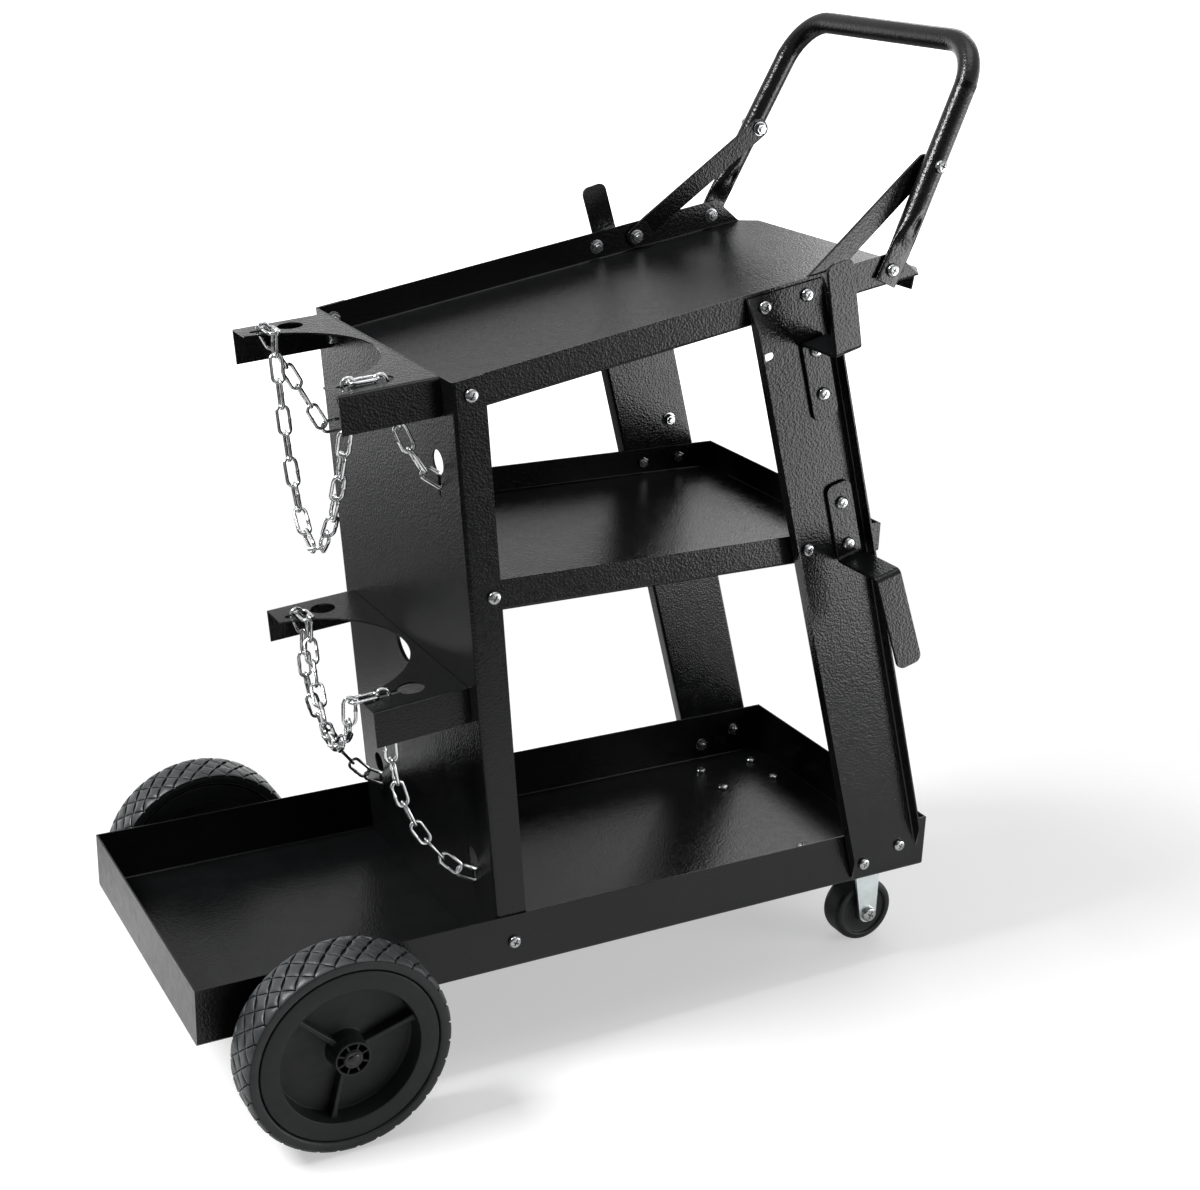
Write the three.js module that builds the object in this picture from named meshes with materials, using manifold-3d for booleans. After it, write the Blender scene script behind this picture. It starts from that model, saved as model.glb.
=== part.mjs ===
// Welding cart: a folded sheet-metal body on two large wheels and two swivel casters, with a tube handle,
// four cable hooks and two chains for a gas cylinder.
// Millimetres. +Z is up, +X points to the handle, left is -Y.
// The origin is on the floor under the middle of the tray.
import * as THREE from 'three';
import { mergeVertices } from 'three/addons/utils/BufferGeometryUtils.js';
import Module from 'manifold-3d';

const wasm = await Module();
wasm.setup();
const degrees = THREE.MathUtils.degToRad;
const axisX = new THREE.Vector3(1, 0, 0);
const axisY = new THREE.Vector3(0, 1, 0);
const axisZ = new THREE.Vector3(0, 0, 1);

// Sheet metal and fits
const SHEET = 1.5;
const BEND = 1.5; // inside radius of a fold
const SEAT_GAP = 0.3; // between two faces that rest on each other
const HOLE_PLAY = 0.4; // radial play of a screw or pin in its hole

// Bottom tray
const TRAY_LENGTH = 711;
const TRAY_WIDTH = 291;
const TRAY_DEPTH = 50.5;

// Back panel: it leans back over the cylinder bay
const PANEL_SETBACK = 266; // front face at tray level, from the cylinder end of the tray
const PANEL_RISE = 515.5; // top edge above the underside of the tray
const PANEL_LEAN = degrees(5.4);
const PANEL_FLANGE = 27.5;
const PANEL_SCREW_SHARES = { top: 0.5, middle: 0.75, tray: 0.5 }; // of the flange, back from the front face
const KEYHOLE_DIAMETER = 20;
const KEYHOLE_SLOT = 29; // from the middle of the round hole to the end of the slot
const SLOT_WIDTH = 6.4;
const WINDOW_DIAMETER = 44; // half-round opening under the lower bracket

// Shelves
const SHELF_WALL = 26.5;
const TOP_SHELF_SLOPE = degrees(10.5);
const TOP_SHELF_INSET = 56; // lip back from the handle end of the tray
const LIP_DROP = 20;
const LIP_MITRE = 8;
const LIP_SHOULDER = 20; // floor corner cut beside the lip, across the shelf
const WALL_TAPER = 22; // length over which a wall runs out
const WALL_END = 12.6; // end of a wall back from the lip
const MIDDLE_SHELF_RISE = 326;
const MIDDLE_SHELF_INSET = 81;

// Legs
const LEG_INSET = 82.5; // rear edge at tray level, from the handle end of the tray
const LEG_LEAN = degrees(15.35);
const LEG_WIDTH = 76;
const LEG_FLANGE = 13;
const LEG_FOOT = 4; // lower end above the underside of the tray
const LEG_TOP_DROP = 3; // upper end below the top of the shelf wall
const LEG_TAPER = 25;
const LEG_BOLTS = [15.5, 56.5]; // across the leg, from its rear edge
const FOOT_BOLT_RISE = 14;
const CABLE_SLOT_ACROSS = 11.5;
const CABLE_SLOT_DROP = 42; // under the top bolt
const CABLE_SLOT_LENGTH = 10.5;
const CABLE_SLOT_HEIGHT = 6.4;

// Cable hooks: bend under the top bolt line, reach out from the leg, blade and the way it points
const HOOKS = {
  upper: { drop: 38, standoff: 50, blade: 78, flare: degrees(5.5), turn: 1 },
  lower: { drop: 240, standoff: 56, blade: 84, flare: degrees(8), turn: -1 },
};
const HOOK_WIDTH = 25;
const HOOK_THICKNESS = 3;
const HOOK_PLATE = 72;
const HOOK_BEND = 2.5;
const HOOK_ROUND = 9;
const HOOK_ACROSS = 54.5;

// Handle and braces
const TUBE = 19;
const TUBE_WALL = 1.2;
const TUBE_FLAT = 4;
const FLAT_WIDTH = 22; // pressed with its sides folded in
const HANDLE_LEAN = degrees(25.4);
const HANDLE_TOE = degrees(4.6);
const HANDLE_REACH = 198.6; // lower bolt to the middle of the grip, along the handle
const HANDLE_BEND = 44;
const HANDLE_BOLT_INSET = 42.3; // back from the lip, along the shelf
const FLAT_BELOW = 12;
const FLAT_ABOVE = 16;
const FLAT_RUNOUT = 30;
const FLAT_EASE = [1, 0.67, 0.2, 0]; // how flat the tube still is at even steps along the run-out
const BRACE_WIDTH = 18;
const BRACE_THICKNESS = 3;
const BRACE_REACH = 91.4; // up the handle from its lower bolt
const BRACE_END = 8.5;
const BRACE_STRAIGHT = 16;

// Cylinder brackets: plate above the tray, sides out from the slots, drop to the panel keyholes, chain
const BRACKETS = {
  upper: {
    rise: PANEL_RISE,
    edge: 23,
    keyholeDrop: 73,
    loopLinks: 18,
    tailLinks: { left: 3, right: 4 },
    anchorTilts: { left: degrees(40), right: 0 },
    routes: { left: 'slot', right: 'edge' },
  },
  lower: {
    rise: 257.5,
    edge: 27,
    keyholeDrop: 169,
    loopLinks: 12,
    tailLinks: { left: 8, right: 8 },
    anchorTilts: { left: degrees(35), right: degrees(35) },
    routes: { left: 'tip', right: 'edge' },
  },
};
const BRACKET_DEPTH = 82;
const BRACKET_FLANGE = 31;
const CUTOUT_RADIUS = 92;
const CUTOUT_WEB = 5;
const ARM_HOLE_DIAMETER = 22;
const ARM_HOLE_REACH = 39; // from the panel
const ARM_SLOT = 36; // from the middle of the round hole to the end of the slot
const SLOT_OFFSET = 99; // chain slots from the middle of the cart
const CHAIN_REST = 65; // the chain's place in the slot, from the panel
const KEYHOLE_SPREAD = 4.5; // panel keyholes sit this much further out than the arm slots

// Chain
const WIRE = 3.4;
const LINK_LENGTH = 27.5;
const LINK_WIDTH = 13.4;
const LINK_FUSE = 0.8; // links of one stretch are pulled this far into each other
const LINK_HOLD = 1.5; // a link on the plate bears on the link that comes up through the slot

// Rear wheels
const WHEEL_DIAMETER = 176;
const TYRE_WIDTH = 43;
const TYRE_WALL = 12;
const SHOULDER = 6;
const CROWN = 9.6; // the tread is flat from here to the same place on the other side
const WHEEL_SETBACK = 107.6; // axle from the cylinder end of the tray
const WHEEL_GAP = 15; // tyre to the side of the tray
const AXLE_DIAMETER = 12;
const RIM_INSET = 1.5; // rim back from the side of the tyre
const RIM_WALL = 15;
const WEB = 5;
const BOSS_DIAMETER = 26;
const BOSS_PROUD = 3.3;
const RIB_COUNT = 3;
const RIB_THICKNESS = 4;
const RIB_HEIGHT = 10;
const RIB_PHASE = degrees(17);
const POCKET_COUNT = 8;
const POCKET_DEPTH = 6;
const POCKET_INNER = 8.4;
const POCKET_OUTER = 11.6;
const POCKET_RIB = 1.4;
const CAP_RADIUS = 7.4;
const CAP_HEIGHT = 2.4;
const SPACER_DIAMETER = 18;
const STRAP_THICKNESS = 3;
const STRAP_WIDTH = 25;
const STRAP_LENGTH = 54;
const STRAP_BEND = 4;

// Casters
const CASTER_INSET = 57; // swivel axis from the handle end of the tray
const CASTER_SIDE = 51.5; // swivel axis from the side of the tray
const CASTER_TRAIL = 24;
const CASTER_DIAMETER = 63.5;
const CASTER_WIDTH = 29;
const CASTER_PLATE = [80, 62];
const CASTER_PLATE_THICKNESS = 2.5;
const CASTER_BOLTS = [62, 44];
const CASTER_PLATE_ROUND = 6;
const RACE_RADIUS = 20;
const RACE_BORE = 12;
const RACE_HEIGHT = 8;
const FORK_THICKNESS = 2.5;
const FORK_HALF_WIDTH = 18.5;
const FORK_LEG = 19; // from the axle to the front of a leg at its top
const FORK_ROUND = 9.5;
const KINGPIN_RADIUS = 4.7;
const KINGPIN_HEAD = 6.7;
const KINGPIN_COLLAR = 9.5;
const KINGPIN_COLLAR_HEIGHT = 3;
const KINGPIN_FOOT = 8;
const CASTER_AXLE_RADIUS = 3.8;
const CASTER_BOSS = 10.5;
const CASTER_TREAD = 6.4; // thickness of the tread ring
const CASTER_RECESS = 4; // depth of the dish between the tread ring and the boss

// Screws with nuts
const SCREW_RADIUS = 2.9;
const HEAD_RATIO = 1.95;
const HEAD_HEIGHT = 1.2;
const HEAD_CROWN = 0.7;
const NUT_RATIO = 1.95;
const NUT_HEIGHT = 1.6;
const NUT_SIDES = 6;
const SCREW_TAIL = 0.6;

// Smoothness
const ROUND = 16;
const FINE_ROUND = 32;
const SCREW_ROUND = 8;
const BEND_STEPS = 3;
const POCKET_STEPS = 2;
const LINK_STEPS = 2;
const WIRE_SIDES = 3;
const TUBE_SIDES = 10;
const PATH_STEPS = 2000;
const BISECTIONS = 30;
const OVERSHOOT = 5; // cutters and welded faces reach past each other by this much
const MERGE = 1e-3;

const FINISHES = {
  coat: { color: 0x26282b, roughness: 0.45, metalness: 0.3 },
  zinc: { color: 0xb9bcc0, roughness: 0.3, metalness: 1 },
  rubber: { color: 0x1b1b1c, roughness: 0.85, metalness: 0 },
  plastic: { color: 0x202124, roughness: 0.5, metalness: 0 },
};

// Derived places
const trayEnd = -TRAY_LENGTH / 2;
const trayHandleEnd = TRAY_LENGTH / 2;
const trayHalf = TRAY_WIDTH / 2;
const wheelRadius = WHEEL_DIAMETER / 2;
const axleRadius = AXLE_DIAMETER / 2;
const trayUnderside = wheelRadius + axleRadius + SEAT_GAP;
const panelHalf = trayHalf - SHEET - SEAT_GAP;
const shelfHalf = panelHalf - SHEET - SEAT_GAP;
const panelFoot = trayEnd + PANEL_SETBACK;
const panelHeight = PANEL_RISE / Math.cos(PANEL_LEAN);
const panelTopX = panelFoot - PANEL_RISE * Math.tan(PANEL_LEAN);
const panelTopZ = trayUnderside + PANEL_RISE;
const shelfLength = (trayHandleEnd - TOP_SHELF_INSET - panelTopX) / Math.cos(TOP_SHELF_SLOPE);
const shelfBoltLine = -SHELF_WALL / 2;
const middleBoltZ = trayUnderside + MIDDLE_SHELF_RISE + SHELF_WALL / 2;
const legFootX = trayHandleEnd - LEG_INSET;
const screwHole = SCREW_RADIUS + HOLE_PLAY;
const keyholeY = SLOT_OFFSET + KEYHOLE_SPREAD;

// Points of the leaning panel, the sloping shelf and the leaning legs in the cart's own frame
function panelPoint(x, z) {
  const sin = Math.sin(PANEL_LEAN);
  const cos = Math.cos(PANEL_LEAN);
  return { x: panelFoot + x * cos - z * sin, z: trayUnderside + x * sin + z * cos };
}

function shelfPoint(u, w) {
  const sin = Math.sin(TOP_SHELF_SLOPE);
  const cos = Math.cos(TOP_SHELF_SLOPE);
  return { x: panelTopX + u * cos - w * sin, z: panelTopZ + u * sin + w * cos };
}

function onShelf(point) {
  const sin = Math.sin(TOP_SHELF_SLOPE);
  const cos = Math.cos(TOP_SHELF_SLOPE);
  const dx = point.x - panelTopX;
  const dz = point.z - panelTopZ;
  return { u: dx * cos + dz * sin, w: dz * cos - dx * sin };
}

function legPoint(across, along) {
  const sin = Math.sin(LEG_LEAN);
  const cos = Math.cos(LEG_LEAN);
  return { x: legFootX + across * cos - along * sin, z: trayUnderside + across * sin + along * cos };
}

// How far up the leg a line at height w of the top shelf crosses it
function legAtShelf(across, w) {
  const start = onShelf(legPoint(across, 0)).w;
  return (w - start) / Math.cos(LEG_LEAN - TOP_SHELF_SLOPE);
}

const legTopBolts = LEG_BOLTS.map((across) => legAtShelf(across, shelfBoltLine));
const legTilt = Math.atan((trayHalf - shelfHalf) / (legTopBolts[0] - FOOT_BOLT_RISE));

function legInner(along) {
  return trayHalf + SEAT_GAP - (along - FOOT_BOLT_RISE) * Math.tan(legTilt);
}

// Solids
function solid(geometry) {
  const source = geometry.index ? geometry.toNonIndexed() : geometry;
  const bare = new THREE.BufferGeometry().setAttribute('position', source.getAttribute('position'));
  const merged = mergeVertices(bare, MERGE);
  const vertProperties = merged.attributes.position.array;
  const triVerts = new Uint32Array(merged.index.array);
  const made = new wasm.Manifold(new wasm.Mesh({ numProp: 3, vertProperties, triVerts }));
  if (made.volume() > 0) return made;
  const flipped = Uint32Array.from(triVerts, (_, i) => triVerts[i - (i % 3) + 2 - (i % 3)]);
  return new wasm.Manifold(new wasm.Mesh({ numProp: 3, vertProperties, triVerts: flipped }));
}

function join(...solids) {
  return solids.reduce((whole, piece) => whole.add(piece));
}

function cut(body, ...cutters) {
  return cutters.reduce((left, cutter) => left.subtract(cutter), body);
}

function block(x0, x1, y0, y1, z0, z1) {
  const geometry = new THREE.BoxGeometry(x1 - x0, y1 - y0, z1 - z0);
  return solid(geometry.translate((x0 + x1) / 2, (y0 + y1) / 2, (z0 + z1) / 2));
}

function rod(axis, radius, length, centre, segments = ROUND) {
  const geometry = new THREE.CylinderGeometry(radius, radius, length, segments);
  if (axis === 'x') geometry.rotateZ(Math.PI / 2);
  if (axis === 'z') geometry.rotateX(Math.PI / 2);
  return solid(geometry.translate(...centre));
}

// A flat outline pushed along an axis: (y, z) along x, (x, z) along y, (x, y) along z
function prism(axis, outline, from, to) {
  const shape = new THREE.Shape(outline.map(([a, b]) => new THREE.Vector2(a, b)));
  const geometry = new THREE.ExtrudeGeometry(shape, { depth: to - from, bevelEnabled: false });
  const place = new THREE.Matrix4();
  if (axis === 'x') place.makeBasis(axisY, axisZ, axisX).setPosition(from, 0, 0);
  if (axis === 'y') place.makeBasis(axisX, axisZ, axisY.clone().negate()).setPosition(0, to, 0);
  if (axis === 'z') place.setPosition(0, 0, from);
  return solid(geometry.applyMatrix4(place));
}

function turned(profile, segments) {
  const points = profile.concat([profile[0]]).map(([r, y]) => new THREE.Vector2(r, y));
  return solid(new THREE.LatheGeometry(points, segments));
}

function arc(cx, cy, radius, from, to, steps) {
  return Array.from({ length: steps + 1 }, (_, i) => {
    const angle = from + ((to - from) * i) / steps;
    return [cx + radius * Math.cos(angle), cy + radius * Math.sin(angle)];
  });
}

function roundedRectangle(x0, x1, y0, y1, radius) {
  const quarter = Math.PI / 2;
  const corners = [[x1, y1, -1, -1], [x0, y1, 1, -1], [x0, y0, 1, 1], [x1, y0, -1, 1]];
  return corners.flatMap(([x, y, sx, sy], i) =>
    arc(x + sx * radius, y + sy * radius, radius, i * quarter, (i + 1) * quarter, BEND_STEPS));
}

// Outline of a folded strip from the middle line of its thickness
function foldedStrip(points, thickness = SHEET, bend = BEND) {
  const left = [];
  const right = [];
  const put = (x, y, nx, ny) => {
    left.push([x + (nx * thickness) / 2, y + (ny * thickness) / 2]);
    right.unshift([x - (nx * thickness) / 2, y - (ny * thickness) / 2]);
  };
  const heading = (i) => Math.atan2(points[i + 1][1] - points[i][1], points[i + 1][0] - points[i][0]);
  const last = points.length - 1;
  put(...points[0], -Math.sin(heading(0)), Math.cos(heading(0)));
  for (let i = 1; i < last; i += 1) {
    const before = heading(i - 1);
    const swing = Math.atan2(Math.sin(heading(i) - before), Math.cos(heading(i) - before));
    const radius = (bend + thickness / 2) * Math.sign(swing);
    const run = radius * Math.tan(swing / 2);
    const cx = points[i][0] - run * Math.cos(before) - radius * Math.sin(before);
    const cy = points[i][1] - run * Math.sin(before) + radius * Math.cos(before);
    for (let step = 0; step <= BEND_STEPS; step += 1) {
      const angle = before + (swing * step) / BEND_STEPS;
      const nx = -Math.sin(angle);
      const ny = Math.cos(angle);
      put(cx - radius * nx, cy - radius * ny, nx, ny);
    }
  }
  put(...points[last], -Math.sin(heading(last - 1)), Math.cos(heading(last - 1)));
  return left.concat(right);
}

// Outline of two walls of equal height and the floor between them, with rounded corners
function troughOutline(half, wallEnd, floor, radius) {
  const rise = Math.sign(wallEnd - floor);
  const quarter = (rise * Math.PI) / 2;
  const cz = floor + rise * radius;
  return [[-half, wallEnd]]
    .concat(arc(radius - half, cz, radius, Math.PI, Math.PI + quarter, BEND_STEPS))
    .concat(arc(half - radius, cz, radius, -quarter, 0, BEND_STEPS))
    .concat([[half, wallEnd]]);
}

// Folded pan along x; the hollow may run past either end of it to leave that end open
function pan(half, wallEnd, floor, [from, to], [hollowFrom, hollowTo]) {
  const rise = Math.sign(wallEnd - floor);
  const inside = floor + rise * SHEET;
  return cut(
    prism('x', troughOutline(half, wallEnd, floor, BEND + SHEET), from, to),
    prism('x', troughOutline(half - SHEET, wallEnd + rise * OVERSHOOT, inside, BEND), hollowFrom, hollowTo),
  );
}

// Skin over a row of rings; the last ring joins the first
function ringLoft(rings) {
  const sides = rings[0].length;
  const index = [];
  rings.forEach((_, i) => {
    const next = (i + 1) % rings.length;
    for (let j = 0; j < sides; j += 1) {
      const k = (j + 1) % sides;
      index.push(i * sides + j, next * sides + j, next * sides + k);
      index.push(i * sides + j, next * sides + k, i * sides + k);
    }
  });
  const positions = new Float32Array(rings.flat().flatMap((p) => [p.x, p.y, p.z]));
  const geometry = new THREE.BufferGeometry();
  geometry.setAttribute('position', new THREE.BufferAttribute(positions, 3));
  return solid(geometry.setIndex(index));
}

// Keyhole cutter: a round hole and a slot that leads away from it
function keyhole(axis, radius, centre, direction, length) {
  const depth = 2 * OVERSHOOT;
  const start = new THREE.Vector3(...centre);
  const end = start.clone().addScaledVector(direction, length - SLOT_WIDTH / 2);
  const across = new THREE.Vector3(...(axis === 'x' ? [depth, SLOT_WIDTH, 0] : [0, SLOT_WIDTH, depth]));
  const reach = across.clone().multiplyScalar(1 / 2);
  const low = start.clone().min(end).sub(reach);
  const high = start.clone().max(end).add(reach);
  return join(
    rod(axis, radius, depth, centre),
    rod(axis, SLOT_WIDTH / 2, depth, end.toArray(), SCREW_ROUND),
    block(low.x, high.x, low.y, high.y, low.z, high.z),
  );
}

// Screw with its nut along +Y, its head seated on y = 0 and its nut on y = grip
function screw(grip, radius = SCREW_RADIUS) {
  const head = radius * HEAD_RATIO;
  const headHeight = radius * HEAD_HEIGHT;
  const nutFace = grip + SEAT_GAP;
  const nutEnd = nutFace + radius * NUT_HEIGHT;
  const shank = turned([
    [0, -SEAT_GAP - headHeight],
    [head * HEAD_CROWN, -SEAT_GAP - headHeight],
    [head, -SEAT_GAP],
    [radius, -SEAT_GAP],
    [radius, nutEnd + radius * SCREW_TAIL],
    [0, nutEnd + radius * SCREW_TAIL],
  ], SCREW_ROUND);
  const nut = rod('y', radius * NUT_RATIO, nutEnd - nutFace, [0, (nutFace + nutEnd) / 2, 0], NUT_SIDES);
  return join(shank, nut);
}

const cart = new THREE.Group();
cart.name = 'welding_cart';

function frame(parent, x, y, z, lean) {
  const group = new THREE.Group();
  group.position.set(x, y, z);
  group.rotation.y = -lean;
  parent.add(group);
  return group;
}

function addNode(parent, name, made, finish) {
  const { vertProperties, triVerts } = made.getMesh();
  const geometry = new THREE.BufferGeometry();
  geometry.setAttribute('position', new THREE.BufferAttribute(vertProperties, 3));
  geometry.setIndex(new THREE.BufferAttribute(triVerts, 1));
  geometry.computeVertexNormals();
  const mesh = new THREE.Mesh(geometry, new THREE.MeshStandardMaterial(FINISHES[finish]));
  mesh.name = name;
  parent.add(mesh);
  return mesh;
}

// A screw through a stack that starts at distance `outer` from the middle of the cart and runs inwards
function addScrew(parent, name, side, x, outer, z, grip, rise = 0) {
  const mesh = addNode(parent, name, screw(grip), 'zinc');
  mesh.position.set(x, side * outer, z);
  const inwards = new THREE.Vector3(0, -side * Math.cos(rise), -Math.sin(rise));
  mesh.quaternion.setFromUnitVectors(axisY, inwards);
}

const panelFrame = frame(cart, panelFoot, 0, trayUnderside, PANEL_LEAN);
const shelfFrame = frame(cart, panelTopX, 0, panelTopZ, TOP_SHELF_SLOPE);
const legFrame = frame(cart, legFootX, 0, trayUnderside, LEG_LEAN);
const sides = [['left', -1], ['right', 1]];

function yHole(x, y, z, radius = screwHole) {
  return rod('y', radius, 2 * OVERSHOOT, [x, y, z], SCREW_ROUND);
}

function bothSides(half, x, z) {
  return sides.map(([, side]) => yHole(x, side * half, z));
}

// Where a screw sits in the panel's side flanges, a share of their width back from the front face
function panelScrew(z, share) {
  return { x: panelFoot - (z - trayUnderside) * Math.tan(PANEL_LEAN) + PANEL_FLANGE * share, z };
}

const topPanelScrew = shelfPoint(PANEL_FLANGE * PANEL_SCREW_SHARES.top, shelfBoltLine);
const middlePanelScrew = panelScrew(middleBoltZ, PANEL_SCREW_SHARES.middle);
const trayPanelScrew = panelScrew(trayUnderside + TRAY_DEPTH / 2, PANEL_SCREW_SHARES.tray);
const legFootScrews = LEG_BOLTS.map((across) => legPoint(across, FOOT_BOLT_RISE));
const legTopScrews = LEG_BOLTS.map((across, i) => legPoint(across, legTopBolts[i]));
const handleScrew = shelfPoint(shelfLength - HANDLE_BOLT_INSET, shelfBoltLine);

function tray() {
  const holes = [trayPanelScrew, ...legFootScrews].flatMap((p) => bothSides(trayHalf, p.x, p.z));
  const ends = [trayEnd, trayHandleEnd];
  const hollow = [trayEnd + SHEET, trayHandleEnd - SHEET];
  return cut(pan(trayHalf, trayUnderside + TRAY_DEPTH, trayUnderside, ends, hollow), ...holes);
}

// Local frame of the panel: x behind its front face, z up along it
function panel() {
  const half = panelHalf - SHEET / 2;
  const face = SHEET / 2;
  const outline = foldedStrip([[PANEL_FLANGE, -half], [face, -half], [face, half], [PANEL_FLANGE, half]]);
  const foot = (SHEET + SEAT_GAP) / Math.cos(PANEL_LEAN);
  const rise = Math.tan(TOP_SHELF_SLOPE - PANEL_LEAN);
  const far = PANEL_FLANGE + OVERSHOOT;
  const crown = panelHeight + 2 * OVERSHOOT;
  const slope = [
    [-OVERSHOOT, panelHeight - OVERSHOOT * rise],
    [far, panelHeight + far * rise],
    [far, crown],
    [-OVERSHOOT, crown],
  ];
  const screws = [topPanelScrew, middlePanelScrew, trayPanelScrew].flatMap((p) => {
    const dx = p.x - panelFoot;
    const dz = p.z - trayUnderside;
    const x = dx * Math.cos(PANEL_LEAN) + dz * Math.sin(PANEL_LEAN);
    const z = dz * Math.cos(PANEL_LEAN) - dx * Math.sin(PANEL_LEAN);
    return bothSides(panelHalf, x, z);
  });
  const down = axisZ.clone().negate();
  const keyholes = Object.values(brackets).flatMap(({ keyholeZ }) => sides.map(([, side]) =>
    keyhole('x', KEYHOLE_DIAMETER / 2, [0, side * keyholeY, keyholeZ], down, KEYHOLE_SLOT)));
  return cut(
    prism('z', outline, foot, crown),
    prism('y', slope, -trayHalf, trayHalf),
    ...screws,
    ...keyholes,
    panelWindow(),
  );
}

// Half-round opening under the plate of the lower bracket, cut through its back flange too
function panelWindow() {
  const top = brackets.lower.plateTop - SHEET - BEND;
  const outline = arc(0, top, WINDOW_DIAMETER / 2, Math.PI, 2 * Math.PI, ROUND / 2);
  return prism('x', outline, -OVERSHOOT, OVERSHOOT);
}

const cutoutX = -CUTOUT_WEB - CUTOUT_RADIUS;
const brackets = Object.fromEntries(Object.entries(BRACKETS).map(([name, spec]) => {
  const plateTop = spec.rise / Math.cos(PANEL_LEAN);
  return [name, { ...spec, plateTop, keyholeZ: plateTop - spec.keyholeDrop, half: SLOT_OFFSET + spec.edge }];
}));

// Local frame of the panel: the bracket stands out in front of it, along -x
function bracket({ plateTop, half }) {
  const tip = -SEAT_GAP - BRACKET_DEPTH;
  const hollow = [tip - OVERSHOOT, -SEAT_GAP - SHEET];
  const slots = sides.map(([, side]) => keyhole('z', ARM_HOLE_DIAMETER / 2,
    [-ARM_HOLE_REACH, side * SLOT_OFFSET, plateTop], axisX.clone().negate(), ARM_SLOT));
  return cut(
    pan(half, plateTop - BRACKET_FLANGE, plateTop, [tip, -SEAT_GAP], hollow),
    rod('z', CUTOUT_RADIUS, 2 * OVERSHOOT, [cutoutX, 0, plateTop], FINE_ROUND),
    ...slots,
  );
}

const wireRadius = WIRE / 2;
const linkSpan = LINK_LENGTH - WIRE; // between the wires at the two ends
const linkBow = (LINK_WIDTH - WIRE) / 2;
const linkPitch = LINK_LENGTH - 2 * WIRE + LINK_FUSE;
const linkReach = (WIRE - LINK_FUSE) / 2; // a link's end wire past the point where it meets the next link

// Local frame of the shelf: u along the slope from the panel's top edge, w up from the top of its walls
function topShelf() {
  const start = SHEET / Math.cos(TOP_SHELF_SLOPE - PANEL_LEAN) + 2 * SEAT_GAP;
  const wallEnd = shelfLength - WALL_END;
  const taper = [
    [wallEnd - WALL_TAPER, 0],
    [wallEnd, SHEET - SHELF_WALL],
    [shelfLength + OVERSHOOT, SHEET - SHELF_WALL],
    [shelfLength + OVERSHOOT, OVERSHOOT],
    [wallEnd - WALL_TAPER, OVERSHOOT],
  ];
  const corners = sides.map(([, side]) => prism('z', [
    [wallEnd, side * (shelfHalf + SHEET)],
    [wallEnd, side * shelfHalf],
    [shelfLength, side * (shelfHalf - LIP_SHOULDER)],
    [shelfLength + OVERSHOOT, side * (shelfHalf - LIP_SHOULDER)],
    [shelfLength + OVERSHOOT, side * (shelfHalf + SHEET)],
  ], -SHELF_WALL - OVERSHOOT, OVERSHOOT));
  const lipHalf = shelfHalf - LIP_SHOULDER;
  const lip = [
    [-lipHalf, SHEET / 2 - SHELF_WALL],
    [-lipHalf, -SHELF_WALL],
    [LIP_MITRE - lipHalf, -SHELF_WALL - LIP_DROP],
    [lipHalf - LIP_MITRE, -SHELF_WALL - LIP_DROP],
    [lipHalf, -SHELF_WALL],
    [lipHalf, SHEET / 2 - SHELF_WALL],
  ];
  const screws = [topPanelScrew, ...legTopScrews, handleScrew].map(onShelf);
  return cut(
    join(
      cut(
        pan(shelfHalf, 0, -SHELF_WALL, [start, shelfLength - SHEET / 2], [start - OVERSHOOT, shelfLength]),
        prism('y', taper, -trayHalf, trayHalf),
        ...corners,
      ),
      prism('x', lip, shelfLength - SHEET, shelfLength),
    ),
    ...screws.flatMap(({ u, w }) => bothSides(shelfHalf, u, w)),
  );
}

function middleShelf() {
  const low = trayUnderside + MIDDLE_SHELF_RISE;
  const panelBack = panelFoot - MIDDLE_SHELF_RISE * Math.tan(PANEL_LEAN) + SHEET / Math.cos(PANEL_LEAN);
  const start = panelBack + SEAT_GAP;
  const end = trayHandleEnd - MIDDLE_SHELF_INSET;
  return cut(
    pan(shelfHalf, low + SHELF_WALL, low, [start, end], [start - OVERSHOOT, end - SHEET]),
    ...bothSides(shelfHalf, middlePanelScrew.x, middlePanelScrew.z),
  );
}

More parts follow.
